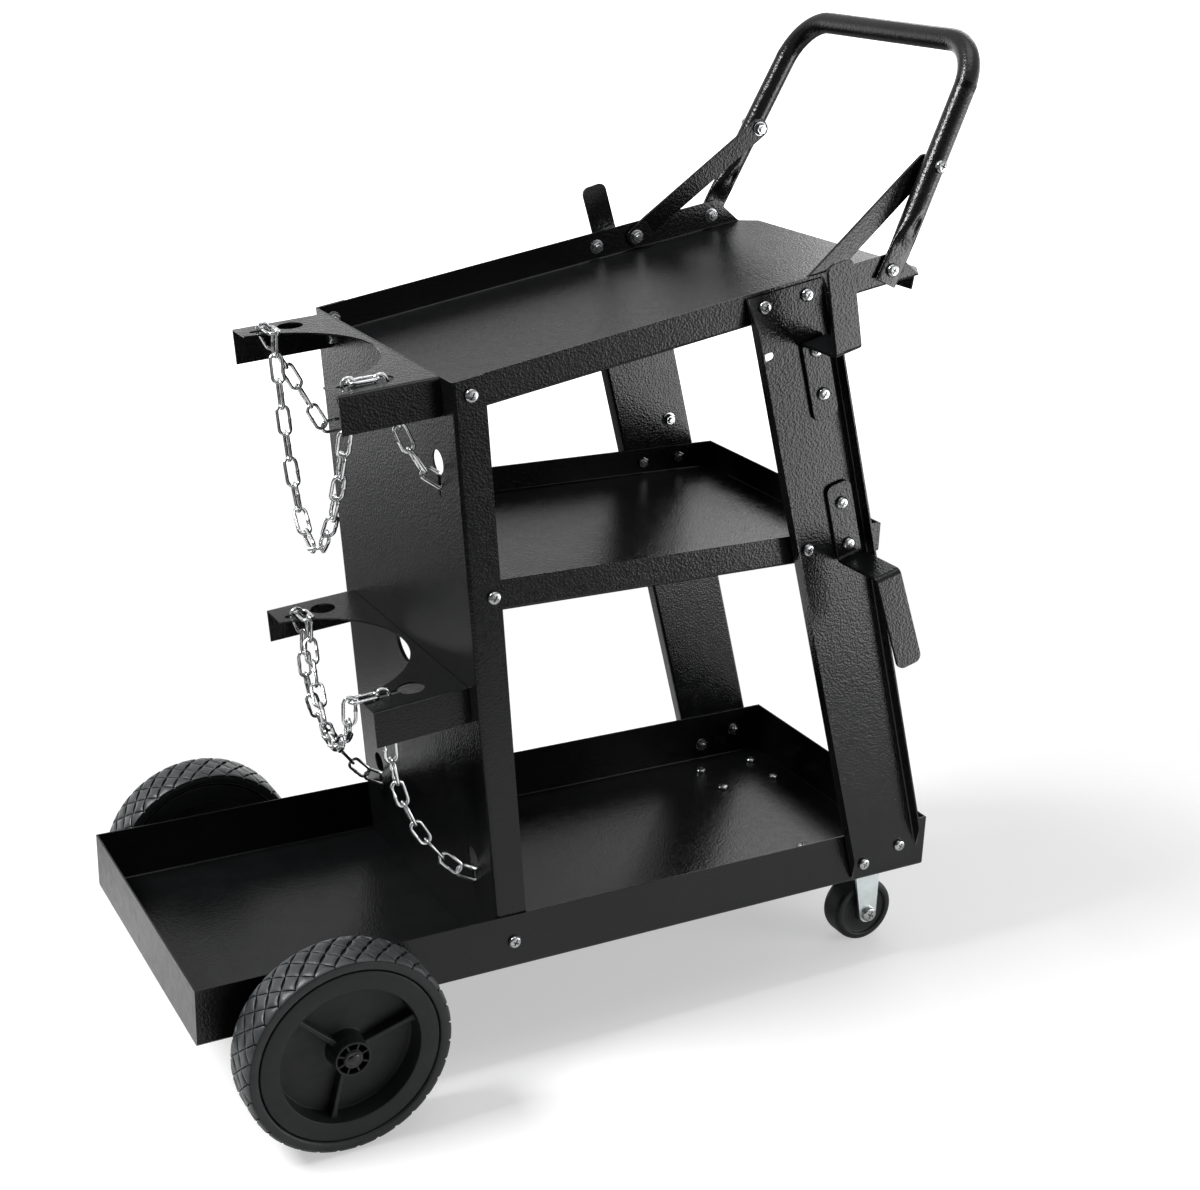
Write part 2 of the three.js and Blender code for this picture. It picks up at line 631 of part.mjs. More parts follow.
// Local frame of a leg: x across it, y outwards from its inner face, z up along it from the foot screws
function leg(side) {
  const face = (side * SHEET) / 2;
  const tip = side * LEG_FLANGE;
  const rear = SHEET / 2;
  const front = LEG_WIDTH - SHEET / 2;
  const outline = foldedStrip([[rear, tip], [rear, face], [front, face], [front, tip]]);
  const foot = LEG_FOOT - FOOT_BOLT_RISE;
  const crown = (across) => legAtShelf(across, -LEG_TOP_DROP) - FOOT_BOLT_RISE;
  const crest = crown(0) + 2 * OVERSHOOT;
  const slope = [
    [-OVERSHOOT, crown(-OVERSHOOT)],
    [LEG_WIDTH + OVERSHOOT, crown(LEG_WIDTH + OVERSHOOT)],
    [LEG_WIDTH + OVERSHOOT, crest],
    [-OVERSHOOT, crest],
  ];
  const root = side * SHEET;
  const out = side * (LEG_FLANGE + OVERSHOOT);
  const run = (LEG_TAPER * (LEG_FLANGE + OVERSHOOT - SHEET)) / (LEG_FLANGE - SHEET);
  const below = foot - OVERSHOOT;
  const tapers = [[-OVERSHOOT, 0, SHEET + BEND], [LEG_WIDTH - SHEET - BEND, LEG_WIDTH, LEG_WIDTH + OVERSHOOT]]
    .flatMap(([from, edge, to]) => [
      prism('x', [[root, crown(edge)], [out, crown(edge) - run], [out, crest], [root, crest]], from, to),
      prism('x', [[root, foot], [root, below], [out, below], [out, foot + run]], from, to),
    ]);
  const holes = LEG_BOLTS.flatMap((across, i) => [
    yHole(across, face, 0),
    yHole(across, face, legTopBolts[i] - FOOT_BOLT_RISE),
  ]);
  const slotZ = legTopBolts[0] - CABLE_SLOT_DROP - FOOT_BOLT_RISE;
  const halfSlot = CABLE_SLOT_LENGTH / 2;
  const halfHeight = CABLE_SLOT_HEIGHT / 2;
  const slot = roundedRectangle(CABLE_SLOT_ACROSS - halfSlot, CABLE_SLOT_ACROSS + halfSlot,
    slotZ - halfHeight, slotZ + halfHeight, halfHeight);
  return cut(
    prism('z', outline, foot, crest),
    prism('y', slope, -trayHalf, trayHalf),
    ...tapers,
    ...holes,
    prism('y', slot, -OVERSHOOT, OVERSHOOT),
  );
}

// Local frame of a leg. The blade points up (+1) or down (-1) from the bend.
function hook(side, { drop, standoff, blade, flare, turn }) {
  const bend = legTopBolts[1] - FOOT_BOLT_RISE - drop;
  const seat = side * (SHEET + SEAT_GAP + HOOK_THICKNESS / 2);
  const plateEnd = bend - turn * (HOOK_PLATE - HOOK_THICKNESS / 2);
  const bladeEnd = bend + turn * blade;
  const stand = seat + side * standoff;
  const run = blade + OVERSHOOT;
  const strip = foldedStrip([
    [seat, plateEnd - turn * OVERSHOOT],
    [seat, bend],
    [stand, bend],
    [stand + side * run * Math.tan(flare), bend + turn * run],
  ], HOOK_THICKNESS, HOOK_BEND);
  const from = HOOK_ACROSS - HOOK_WIDTH / 2;
  const to = HOOK_ACROSS + HOOK_WIDTH / 2;
  const ends = [plateEnd, bladeEnd].sort((a, b) => a - b);
  const outline = roundedRectangle(from, to, ...ends, HOOK_ROUND);
  const bar = prism('x', strip, from - OVERSHOOT, to + OVERSHOOT);
  return bar.intersect(prism('y', outline, -trayHalf, trayHalf));
}

const flatMiddle = shelfHalf + SEAT_GAP + TUBE_FLAT / 2;

function handleSide(reach) {
  return flatMiddle - Math.max(0, reach - FLAT_ABOVE) * Math.tan(HANDLE_TOE);
}

// Stations along the tube from its right end to the top of its bend: place, heading and how flat it is
function handleStations() {
  const up = Math.PI / 2;
  const toed = up + HANDLE_TOE;
  const corner = handleSide(HANDLE_REACH);
  const run = HANDLE_BEND * Math.tan((Math.PI - toed) / 2);
  const end = { y: handleSide(-FLAT_BELOW), z: -FLAT_BELOW, heading: up, flat: 1 };
  const runout = FLAT_EASE.map((flat, i) => {
    const reach = FLAT_ABOVE + (FLAT_RUNOUT * i) / (FLAT_EASE.length - 1);
    return { y: handleSide(reach), z: reach, heading: i ? toed : up, flat };
  });
  const bend = arc(corner - run, HANDLE_REACH - HANDLE_BEND, HANDLE_BEND, toed - up, up, 2 * BEND_STEPS)
    .map(([y, z], i) => ({ y, z, heading: toed + ((Math.PI - toed) * i) / (2 * BEND_STEPS), flat: 0 }));
  return [end, ...runout, ...bend];
}

// Local frame of the handle: z up along it from the lower screws
function handle() {
  const half = handleStations();
  const mirrored = half.map((s) => ({ ...s, y: -s.y, heading: -s.heading })).reverse();
  const ring = ({ y, z, heading, flat }, wall) => Array.from({ length: TUBE_SIDES }, (_, i) => {
    const angle = (2 * Math.PI * i) / TUBE_SIDES;
    const square = 1 - flat / 2;
    const spread = (value) => Math.sign(value) * Math.abs(value) ** square;
    const across = (THREE.MathUtils.lerp(TUBE, TUBE_FLAT, flat) / 2 - wall) * spread(Math.cos(angle));
    const deep = (THREE.MathUtils.lerp(TUBE, FLAT_WIDTH, flat) / 2 - wall) * spread(Math.sin(angle));
    return new THREE.Vector3(deep, y - across * Math.sin(heading), z + across * Math.cos(heading));
  });
  const stations = half.concat(mirrored);
  const outer = stations.map((s) => ring(s, 0));
  const inner = stations.map((s) => ring(s, TUBE_WALL)).reverse();
  const toe = THREE.MathUtils.radToDeg(HANDLE_TOE);
  const holes = sides.flatMap(([, side]) => [[0, 0], [BRACE_REACH, side * toe]].map(([reach, tilt]) =>
    rod('y', screwHole, 2 * TUBE, [0, 0, 0], SCREW_ROUND)
      .rotate([tilt, 0, 0])
      .translate([0, side * handleSide(reach), reach])));
  return cut(ringLoft(outer.concat(inner)), ...holes);
}

const handleFrame = frame(cart, handleScrew.x, 0, handleScrew.z, -HANDLE_LEAN);
const braceFoot = legTopScrews[1];
const braceSeat = SEAT_GAP + (BRACE_WIDTH / 2) * Math.tan(HANDLE_TOE);
const braceRise = BRACE_REACH - (TUBE / 2 + braceSeat + BRACE_THICKNESS / 2) * Math.sin(HANDLE_TOE);
const braceHead = {
  x: handleScrew.x + braceRise * Math.sin(HANDLE_LEAN),
  z: handleScrew.z + braceRise * Math.cos(HANDLE_LEAN),
};
const braceLength = Math.hypot(braceHead.x - braceFoot.x, braceHead.z - braceFoot.z);
const braceAngle = Math.atan2(braceHead.z - braceFoot.z, braceHead.x - braceFoot.x);
const braceTwist = Math.PI / 2 - HANDLE_LEAN - braceAngle;

// Local frame of a brace: x along it from its lower screw
function brace(side) {
  const low = shelfHalf - SHEET - SEAT_GAP - BRACE_THICKNESS / 2;
  const high = handleSide(BRACE_REACH) - TUBE / 2 / Math.cos(HANDLE_TOE) - braceSeat - BRACE_THICKNESS / 2;
  const slope = Math.tan(HANDLE_TOE) * Math.cos(braceTwist);
  const strip = foldedStrip([
    [-BRACE_STRAIGHT, side * low],
    [BRACE_STRAIGHT, side * low],
    [braceLength - BRACE_STRAIGHT, side * (high + slope * BRACE_STRAIGHT)],
    [braceLength + BRACE_STRAIGHT, side * (high - slope * BRACE_STRAIGHT)],
  ], BRACE_THICKNESS, HOOK_BEND);
  const half = BRACE_WIDTH / 2;
  const outline = roundedRectangle(-BRACE_END, braceLength + BRACE_END, -half, half, half - SHEET);
  return cut(
    prism('z', strip, -BRACE_WIDTH, BRACE_WIDTH).intersect(prism('y', outline, -trayHalf, trayHalf)),
    yHole(0, side * low, 0),
    yHole(braceLength, side * high, 0),
  );
}

// One link as a ring of wire between the two points its end wires pass through
function link(from, to, across) {
  const along = to.clone().sub(from).normalize();
  const wide = across.clone().addScaledVector(along, -across.dot(along)).normalize();
  const normal = along.clone().cross(wide);
  const middle = from.clone().add(to).multiplyScalar(1 / 2);
  const quarter = Math.PI / 2;
  const ends = [0, Math.PI].flatMap((turn) => arc(0, 0, 1, turn - quarter, turn + quarter, LINK_STEPS));
  const rings = ends.map(([cos, sin], i) => {
    const shift = (i > LINK_STEPS ? -1 : 1) * (linkSpan / 2 - linkBow);
    const out = along.clone().multiplyScalar(cos).addScaledVector(wide, sin);
    const centre = middle.clone().addScaledVector(along, shift).addScaledVector(out, linkBow);
    return arc(0, 0, wireRadius, Math.PI, (3 - 2 / WIRE_SIDES) * Math.PI, WIRE_SIDES - 1).map(([a, b]) =>
      centre.clone().addScaledVector(out, a).addScaledVector(normal, b));
  });
  return ringLoft(rings);
}

// Points, one pitch apart, of a chain that hangs between two points
function hangingPoints(from, to, count) {
  const chord = to.clone().sub(from).normalize();
  const bow = chord.clone().multiplyScalar(chord.z).sub(axisZ).normalize();
  const walk = (sag) => {
    const picked = [from];
    for (let i = 1; i <= PATH_STEPS; i += 1) {
      const t = i / PATH_STEPS;
      const point = from.clone().lerp(to, t).addScaledVector(bow, 4 * sag * t * (1 - t));
      if (point.distanceTo(picked.at(-1)) >= linkPitch) picked.push(point);
    }
    return picked;
  };
  const measure = (picked) => (picked.length - 1) * linkPitch + picked.at(-1).distanceTo(to);
  let low = 0;
  let high = count * linkPitch;
  for (let i = 0; i < BISECTIONS; i += 1) {
    const middle = (low + high) / 2;
    if (measure(walk(middle)) < count * linkPitch) low = middle;
    else high = middle;
  }
  return walk(low).slice(0, count).concat([to]);
}

// Links from point to point, turned a quarter against each other; counted from `first`, the even ones are wide
// sideways
function chainRun(points, sideways, first = 0) {
  return points.slice(1).map((end, i) => {
    const start = points[i];
    const along = end.clone().sub(start).normalize();
    const from = start.clone().addScaledVector(along, -linkReach);
    const to = end.clone().addScaledVector(along, linkReach);
    return link(from, to, (first + i) % 2 ? sideways.clone().cross(along) : sideways);
  });
}

const chainLift = SEAT_GAP + wireRadius; // wire of a link that lies on a plate

// Local frame of the panel: a link lies on the arm, between the tail that comes up through the plate and
// the loop, which leaves it down the slot, over the tip of the arm or over the edge of the cut-out.
function armLinks(plateTop, route, side) {
  const y = side * SLOT_OFFSET;
  const z = plateTop + chainLift;
  const hold = WIRE - LINK_HOLD;
  const rise = new THREE.Vector3(-CHAIN_REST, y, z + WIRE + SEAT_GAP);
  if (route === 'slot') {
    const pivot = new THREE.Vector3(-CHAIN_REST, y, z);
    const held = pivot.clone().addScaledVector(axisX, linkSpan);
    return { held, pivot, across: axisY, rise: held.clone().addScaledVector(axisZ, hold) };
  }
  if (route === 'tip') {
    const held = new THREE.Vector3(hold - CHAIN_REST - linkBow, y, z);
    return { held, pivot: held.clone().addScaledVector(axisX, -linkSpan), across: axisY, rise };
  }
  const held = new THREE.Vector3(linkBow - CHAIN_REST, y + side * hold, z);
  return { held, pivot: held.clone().addScaledVector(axisY, -side * linkSpan), across: axisX, rise };
}

// Local frame of the panel: from the link on the arm down through the plate to a link behind the panel
function chainTail({ plateTop, keyholeZ, tailLinks, anchorTilts, routes }, hand, side) {
  const { held, pivot, across, rise } = armLinks(plateTop, routes[hand], side);
  const tilt = anchorTilts[hand];
  const anchorZ = keyholeZ - KEYHOLE_SLOT + LINK_WIDTH / 2 / Math.cos(tilt) + HOLE_PLAY;
  const behind = new THREE.Vector3(SHEET + chainLift + LINK_HOLD, side * keyholeY, anchorZ);
  const outwards = new THREE.Vector3(-Math.cos(tilt), 0, Math.sin(tilt));
  const ahead = behind.clone().addScaledVector(outwards, linkSpan);
  const bend = behind.clone().addScaledVector(outwards, linkBow);
  const shift = SHEET + chainLift - bend.x;
  const stopTop = bend.clone().add(new THREE.Vector3(shift, 0, -Math.sqrt(linkBow ** 2 - shift ** 2)));
  const stopLow = stopTop.clone().addScaledVector(axisZ, -linkSpan);
  const course = ahead.clone().sub(rise).normalize();
  const low = rise.clone().addScaledVector(course, linkSpan);
  const from = low.clone().addScaledVector(course, -linkReach);
  const to = ahead.clone().addScaledVector(outwards, -linkReach);
  return join(
    link(held, pivot, across),
    link(rise, low, axisX),
    ...chainRun(hangingPoints(from, to, tailLinks[hand]), axisY),
    link(behind, ahead, axisZ),
    link(stopTop, stopLow, axisY),
  );
}

// Cart frame: the loop hangs from the free ends of the two links on the arms
function loopPivots({ plateTop, routes }) {
  return sides.map(([hand, side]) => {
    const end = armLinks(plateTop, routes[hand], side).pivot;
    const { x, z } = panelPoint(end.x, end.z);
    return new THREE.Vector3(x, end.y, z);
  });
}

// Its end links hang square to the line between those ends, so that the loop swings about it
function chainLoop(spec) {
  const seat = Math.SQRT2 * (WIRE + SEAT_GAP); // link ends are right angles
  const pivots = loopPivots(spec);
  const line = pivots[1].clone().sub(pivots[0]).normalize();
  const sideways = line.clone().cross(axisZ).normalize();
  const down = line.clone().cross(sideways);
  const tops = pivots.map((pivot) => pivot.clone().addScaledVector(down, -seat));
  const ends = tops.map((top) => top.clone().addScaledVector(down, linkSpan));
  const starts = ends.map((end) => end.clone().addScaledVector(down, -linkReach));
  return join(
    link(tops[0], ends[0], sideways),
    ...chainRun(hangingPoints(...starts, spec.loopLinks - tops.length), sideways, 1),
    link(tops[1], ends[1], line),
  );
}

const wheelMiddle = trayHalf + WHEEL_GAP + TYRE_WIDTH / 2;
const rimHalf = TYRE_WIDTH / 2 - RIM_INSET;
const bossHalf = rimHalf + BOSS_PROUD;
const seatRadius = wheelRadius - TYRE_WALL;
const wheelBore = axleRadius + HOLE_PLAY;
const wheelX = trayEnd + WHEEL_SETBACK;

// Wheel frame: y along the axle, outwards when it is positive
function tyre() {
  const inner = seatRadius + SEAT_GAP;
  const half = TYRE_WIDTH / 2;
  const wall = inner + TYRE_WALL / 4;
  const profile = [
    [inner, -rimHalf],
    [wall, -half],
    [wheelRadius - SHOULDER, -half],
    [wheelRadius - SHOULDER / 4, SHOULDER / 2 - half],
    [wheelRadius, CROWN - half],
    [wheelRadius, half - CROWN],
    [wheelRadius - SHOULDER / 4, half - SHOULDER / 2],
    [wheelRadius - SHOULDER, half],
    [wall, half],
    [inner, rimHalf],
  ];
  return turned(profile, FINE_ROUND);
}

function hub(side) {
  const boss = BOSS_DIAMETER / 2;
  const dish = seatRadius - RIM_WALL;
  const body = turned([
    [wheelBore, -bossHalf], [boss, -bossHalf], [boss, -WEB / 2], [dish, -WEB / 2],
    [dish, -rimHalf], [seatRadius, -rimHalf], [seatRadius, rimHalf], [dish, rimHalf],
    [dish, WEB / 2], [boss, WEB / 2], [boss, bossHalf], [wheelBore, bossHalf],
  ], FINE_ROUND);
  const ribs = Array.from({ length: RIB_COUNT }, (_, i) => {
    const height = WEB / 2 + RIB_HEIGHT;
    const start = boss - SHEET;
    const geometry = new THREE.BoxGeometry(dish + SHEET - start, 2 * height, RIB_THICKNESS);
    geometry.translate((dish + SHEET + start) / 2, 0, 0);
    return solid(geometry.rotateY(-RIB_PHASE - (2 * Math.PI * i) / RIB_COUNT));
  });
  const sector = Math.PI / POCKET_COUNT;
  const pockets = Array.from({ length: POCKET_COUNT }, (_, i) => {
    const middle = 2 * sector * i;
    const inner = sector - POCKET_RIB / 2 / POCKET_INNER;
    const outer = sector - POCKET_RIB / 2 / POCKET_OUTER;
    const outline = arc(0, 0, POCKET_OUTER, middle - outer, middle + outer, POCKET_STEPS)
      .concat(arc(0, 0, POCKET_INNER, middle + inner, middle - inner, POCKET_STEPS));
    const floor = bossHalf - POCKET_DEPTH;
    const ends = side > 0 ? [floor, bossHalf + SHEET] : [-bossHalf - SHEET, -floor];
    return prism('y', outline, ...ends);
  });
  return cut(join(body, ...ribs), ...pockets);
}

const axleEnd = wheelMiddle + bossHalf;

function cap(side) {
  const from = side * (axleEnd + SEAT_GAP);
  const to = side * (axleEnd + SEAT_GAP + CAP_HEIGHT);
  const rim = side * (axleEnd + SEAT_GAP + CAP_HEIGHT / 2);
  return turned([[0, from], [CAP_RADIUS, from], [CAP_RADIUS, rim], [CAP_RADIUS / 2, to], [0, to]], ROUND);
}

function spacer(side) {
  const from = side * (trayHalf + SEAT_GAP);
  const to = side * (wheelMiddle - bossHalf - SEAT_GAP);
  const outer = SPACER_DIAMETER / 2;
  return turned([[wheelBore, from], [outer, from], [outer, to], [wheelBore, to]], ROUND);
}

// Wheel frame without the shift along the axle: a strap that hangs the axle under the tray
function strap(side) {
  const top = axleRadius - STRAP_THICKNESS / 2;
  const reach = wheelBore + STRAP_THICKNESS / 2;
  const end = STRAP_LENGTH / 2;
  const outline = foldedStrip([
    [-end, top], [-reach, top], [-reach, -reach], [reach, -reach], [reach, top], [end, top],
  ], STRAP_THICKNESS, STRAP_BEND);
  const near = side * trayHalf;
  const far = side * (trayHalf - STRAP_WIDTH);
  return prism('y', outline, Math.min(near, far), Math.max(near, far));
}

const casterX = trayHandleEnd - CASTER_INSET;
const casterY = trayHalf - CASTER_SIDE;
const casterRadius = CASTER_DIAMETER / 2;
const plateUnder = trayUnderside - SEAT_GAP - CASTER_PLATE_THICKNESS;
const forkTop = plateUnder - SEAT_GAP - RACE_HEIGHT;

// Caster frame: origin on the floor under the swivel axis
function casterPlate() {
  const [length, width] = CASTER_PLATE;
  const outline = roundedRectangle(-length / 2, length / 2, -width / 2, width / 2, CASTER_PLATE_ROUND);
  const holes = [-1, 1].flatMap((sx) => [-1, 1].map((sy) =>
    rod('z', screwHole, 2 * OVERSHOOT, [(sx * CASTER_BOLTS[0]) / 2, (sy * CASTER_BOLTS[1]) / 2, plateUnder],
      SCREW_ROUND)));
  return cut(
    prism('z', outline, plateUnder, plateUnder + CASTER_PLATE_THICKNESS),
    rod('z', KINGPIN_HEAD + HOLE_PLAY, 2 * OVERSHOOT, [0, 0, plateUnder]),
    ...holes,
  );
}

function kingpin() {
  const foot = forkTop - FORK_THICKNESS - SEAT_GAP;
  const collarLow = plateUnder - SEAT_GAP - KINGPIN_COLLAR_HEIGHT;
  const profile = [
    [0, foot - FORK_THICKNESS],
    [KINGPIN_FOOT, foot - FORK_THICKNESS],
    [KINGPIN_FOOT, foot],
    [KINGPIN_RADIUS, foot],
    [KINGPIN_RADIUS, collarLow],
    [KINGPIN_COLLAR, collarLow],
    [KINGPIN_COLLAR, plateUnder - SEAT_GAP],
    [KINGPIN_HEAD, plateUnder - SEAT_GAP],
    [KINGPIN_HEAD, plateUnder + CASTER_PLATE_THICKNESS],
    [0, plateUnder + CASTER_PLATE_THICKNESS],
  ];
  return turned(profile, ROUND).rotate([90, 0, 0]);
}

function fork() {
  const raceTop = plateUnder - SEAT_GAP;
  const race = turned([
    [RACE_BORE, forkTop - SHEET],
    [RACE_RADIUS, forkTop - SHEET],
    [RACE_RADIUS, raceTop - SHEET],
    [RACE_RADIUS - SHEET, raceTop],
    [RACE_BORE, raceTop],
  ], ROUND).rotate([90, 0, 0]);
  const front = CASTER_TRAIL - FORK_LEG;
  const back = CASTER_TRAIL + FORK_ROUND;
  const crown = roundedRectangle(-RACE_RADIUS, back, -FORK_HALF_WIDTH, FORK_HALF_WIDTH, BEND);
  const outline = [[front, forkTop - SHEET]]
    .concat(arc(CASTER_TRAIL, casterRadius, FORK_ROUND, Math.PI, 2 * Math.PI, 2 * BEND_STEPS))
    .concat([[back, forkTop - SHEET]]);
  const legs = [-1, 1].map((side) => {
    const outer = side * FORK_HALF_WIDTH;
    const inner = side * (FORK_HALF_WIDTH - FORK_THICKNESS);
    return prism('y', outline, Math.min(outer, inner), Math.max(outer, inner));
  });
  return cut(
    join(prism('z', crown, forkTop - FORK_THICKNESS, forkTop), race, ...legs),
    rod('z', KINGPIN_RADIUS + HOLE_PLAY, 4 * OVERSHOOT, [0, 0, forkTop]),
    rod('y', CASTER_AXLE_RADIUS + HOLE_PLAY, 4 * FORK_HALF_WIDTH, [CASTER_TRAIL, 0, casterRadius], ROUND),
  );
}

function casterWheel() {
  const half = CASTER_WIDTH / 2;
  const bore = CASTER_AXLE_RADIUS + HOLE_PLAY;
  const tread = casterRadius - CASTER_TREAD;
  const recess = half - CASTER_RECESS;
  const edge = half - SHEET;
  const profile = [
    [bore, -half], [CASTER_BOSS, -half], [CASTER_BOSS, -recess], [tread, -recess], [tread, -edge],
    [casterRadius - SHEET, -edge], [casterRadius, 2 * SHEET - edge],
    [casterRadius, edge - 2 * SHEET], [casterRadius - SHEET, edge],
    [tread, edge], [tread, recess], [CASTER_BOSS, recess], [CASTER_BOSS, half], [bore, half],
  ];
  return turned(profile, ROUND + SCREW_ROUND);
}

addNode(cart, 'bottom_tray', tray(), 'coat');
addNode(panelFrame, 'back_panel', panel(), 'coat');
addNode(shelfFrame, 'top_shelf', topShelf(), 'coat');
addNode(cart, 'middle_shelf', middleShelf(), 'coat');
addNode(handleFrame, 'handle', handle(), 'coat');
Object.entries(brackets).forEach(([name, spec]) => {
  const made = bracket(spec);
  addNode(panelFrame, `${name}_bracket`, name === 'lower' ? cut(made, panelWindow()) : made, 'coat');
  addNode(cart, `${name}_chain_loop`, chainLoop(spec), 'zinc');
  sides.forEach(([hand, side]) => {
    addNode(panelFrame, `${name}_chain_${hand}_tail`, chainTail(spec, hand, side), 'zinc');
  });
});

sides.forEach(([hand, side]) => {
  const legGroup = new THREE.Group();
  legGroup.position.set(0, side * (trayHalf + SEAT_GAP), FOOT_BOLT_RISE);
  legGroup.rotation.x = side * legTilt;
  legFrame.add(legGroup);
  addNode(legGroup, `${hand}_leg`, leg(side), 'coat');
  Object.entries(HOOKS).forEach(([name, spec]) => {
    addNode(legGroup, `${hand}_${name}_hook`, hook(side, spec), 'coat');
  });
  const braceFrame = frame(cart, braceFoot.x, 0, braceFoot.z, braceAngle);
  addNode(braceFrame, `${hand}_brace`, brace(side), 'coat');

  const pair = 2 * SHEET + SEAT_GAP;
  const stack = pair + SEAT_GAP + BRACE_THICKNESS;
  const clasp = TUBE + braceSeat + BRACE_THICKNESS + SEAT_GAP;
  const tubeFace = handleSide(BRACE_REACH) + (TUBE / 2) * Math.cos(HANDLE_TOE);
  const tubeRise = BRACE_REACH + (TUBE / 2) * Math.sin(HANDLE_TOE);
  addScrew(cart, `${hand}_panel_tray_screw`, side, trayPanelScrew.x, trayHalf, trayPanelScrew.z, pair);
  addScrew(cart, `${hand}_panel_middle_screw`, side, middlePanelScrew.x, panelHalf, middlePanelScrew.z, pair);
  addScrew(cart, `${hand}_panel_top_screw`, side, topPanelScrew.x, panelHalf, topPanelScrew.z, pair);
  addScrew(cart, `${hand}_handle_screw`, side, handleScrew.x, flatMiddle + TUBE_FLAT / 2, handleScrew.z,
    TUBE_FLAT + SEAT_GAP + SHEET);
  addScrew(handleFrame, `${hand}_brace_screw`, side, 0, tubeFace, tubeRise, clasp, HANDLE_TOE);
  ['rear', 'front'].forEach((place, i) => {
    const low = legFootScrews[i];
    const high = legTopScrews[i];
    const lowFace = legInner(FOOT_BOLT_RISE) + SHEET;
    const highFace = legInner(legTopBolts[i]) + SHEET;
    addScrew(cart, `${hand}_leg_foot_${place}_screw`, side, low.x, lowFace, low.z, pair);
    addScrew(cart, `${hand}_leg_top_${place}_screw`, side, high.x, highFace, high.z, i ? stack : pair);
  });

  const wheelFrame = frame(cart, wheelX, side * wheelMiddle, wheelRadius, 0);
  addNode(wheelFrame, `${hand}_tyre`, tyre(), 'rubber');
  addNode(wheelFrame, `${hand}_hub`, hub(side), 'plastic');
  const axleFrame = frame(cart, wheelX, 0, wheelRadius, 0);
  addNode(axleFrame, `${hand}_axle_strap`, strap(side), 'coat');
  addNode(axleFrame, `${hand}_axle_spacer`, spacer(side), 'zinc');
  addNode(axleFrame, `${hand}_axle_cap`, cap(side), 'zinc');

  const casterFrame = frame(cart, casterX, side * casterY, 0, 0);
  addNode(casterFrame, `${hand}_caster_plate`, casterPlate(), 'zinc');
  addNode(casterFrame, `${hand}_caster_kingpin`, kingpin(), 'zinc');
  addNode(casterFrame, `${hand}_caster_fork`, fork(), 'zinc');
  const rollFrame = frame(casterFrame, CASTER_TRAIL, 0, casterRadius, 0);
  addNode(rollFrame, `${hand}_caster_wheel`, casterWheel(), 'plastic');
  const casterAxle = screw(2 * FORK_HALF_WIDTH, CASTER_AXLE_RADIUS);
  addNode(rollFrame, `${hand}_caster_axle`, casterAxle.translate([0, -FORK_HALF_WIDTH, 0]), 'zinc');
});

addNode(cart, 'rear_axle', rod('y', axleRadius, 2 * axleEnd, [wheelX, 0, wheelRadius], ROUND), 'zinc');

export default cart;
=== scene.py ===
import math

import bmesh
import bpy
from mathutils import Matrix, Vector


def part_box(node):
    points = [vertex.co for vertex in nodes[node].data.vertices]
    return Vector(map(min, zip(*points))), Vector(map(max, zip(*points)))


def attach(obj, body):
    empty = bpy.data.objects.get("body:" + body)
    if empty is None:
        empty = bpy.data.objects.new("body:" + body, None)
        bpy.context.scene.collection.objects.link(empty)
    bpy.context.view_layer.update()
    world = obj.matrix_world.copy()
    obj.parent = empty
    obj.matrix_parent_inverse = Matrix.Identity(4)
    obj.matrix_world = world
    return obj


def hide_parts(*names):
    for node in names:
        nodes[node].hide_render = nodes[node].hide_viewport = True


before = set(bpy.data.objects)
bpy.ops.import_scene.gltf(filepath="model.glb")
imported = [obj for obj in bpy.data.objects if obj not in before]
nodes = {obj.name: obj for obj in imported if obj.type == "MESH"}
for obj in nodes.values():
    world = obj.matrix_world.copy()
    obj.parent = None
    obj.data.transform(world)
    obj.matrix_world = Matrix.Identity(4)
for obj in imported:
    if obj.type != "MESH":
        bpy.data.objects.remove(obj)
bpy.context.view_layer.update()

MM = 0.001
TAU = 2 * math.pi
SIDES = {"left": -1, "right": 1}
X, Y, Z = Vector((1, 0, 0)), Vector((0, 1, 0)), Vector((0, 0, 1))

# Places of the frame
SHEET = 1.5
TRAY_UNDER, TRAY_HALF, SHELF_HALF = 94.3, 145.5, 141.9
PANEL_FOOT, PANEL_LEAN = -89.5, math.radians(5.4)
PANEL_TOP = Vector((-138.23, 0, 609.8))
SHELF_SLOPE, SHELF_LENGTH, SHELF_BOLT = math.radians(10.5), 445.2, -13.25
LEG_FOOT, LEG_LEAN, FOOT_BOLT = 273, math.radians(15.35), 14
HANDLE_LEAN, HANDLE_TOE = math.radians(25.4), math.radians(4.6)
TUBE, TUBE_FLAT, FLAT_WIDTH, TUBE_WALL, TUBE_BEND = 19, 4, 22, 1.2, 44
HANDLE_REACH, BRACE_REACH, FLAT_ABOVE, FLAT_RUNOUT = 198.4, 91.4, 16, 30
WHEEL_X, WHEEL_Y, WHEEL_RADIUS = -247.9, 182, 88
CASTER_X, CASTER_Y, CASTER_TRAIL, CASTER_RADIUS = 298.5, 94, 24, 31.75
SLOT_OFFSET, KEYHOLE_Y, KEYHOLE_SLOT, CHAIN_REST = 99, 103.5, 29, 65
BRACKETS = {
    "upper": {"top": 517.8, "drop": 73, "loop": 18, "tails": {"left": 3, "right": 4},
              "tilts": {"left": math.radians(40), "right": 0}, "routes": {"left": "slot", "right": "edge"}},
    "lower": {"top": 258.65, "drop": 169, "loop": 12, "tails": {"left": 8, "right": 8},
              "tilts": {"left": math.radians(35), "right": math.radians(35)},
              "routes": {"left": "tip", "right": "edge"}},
}


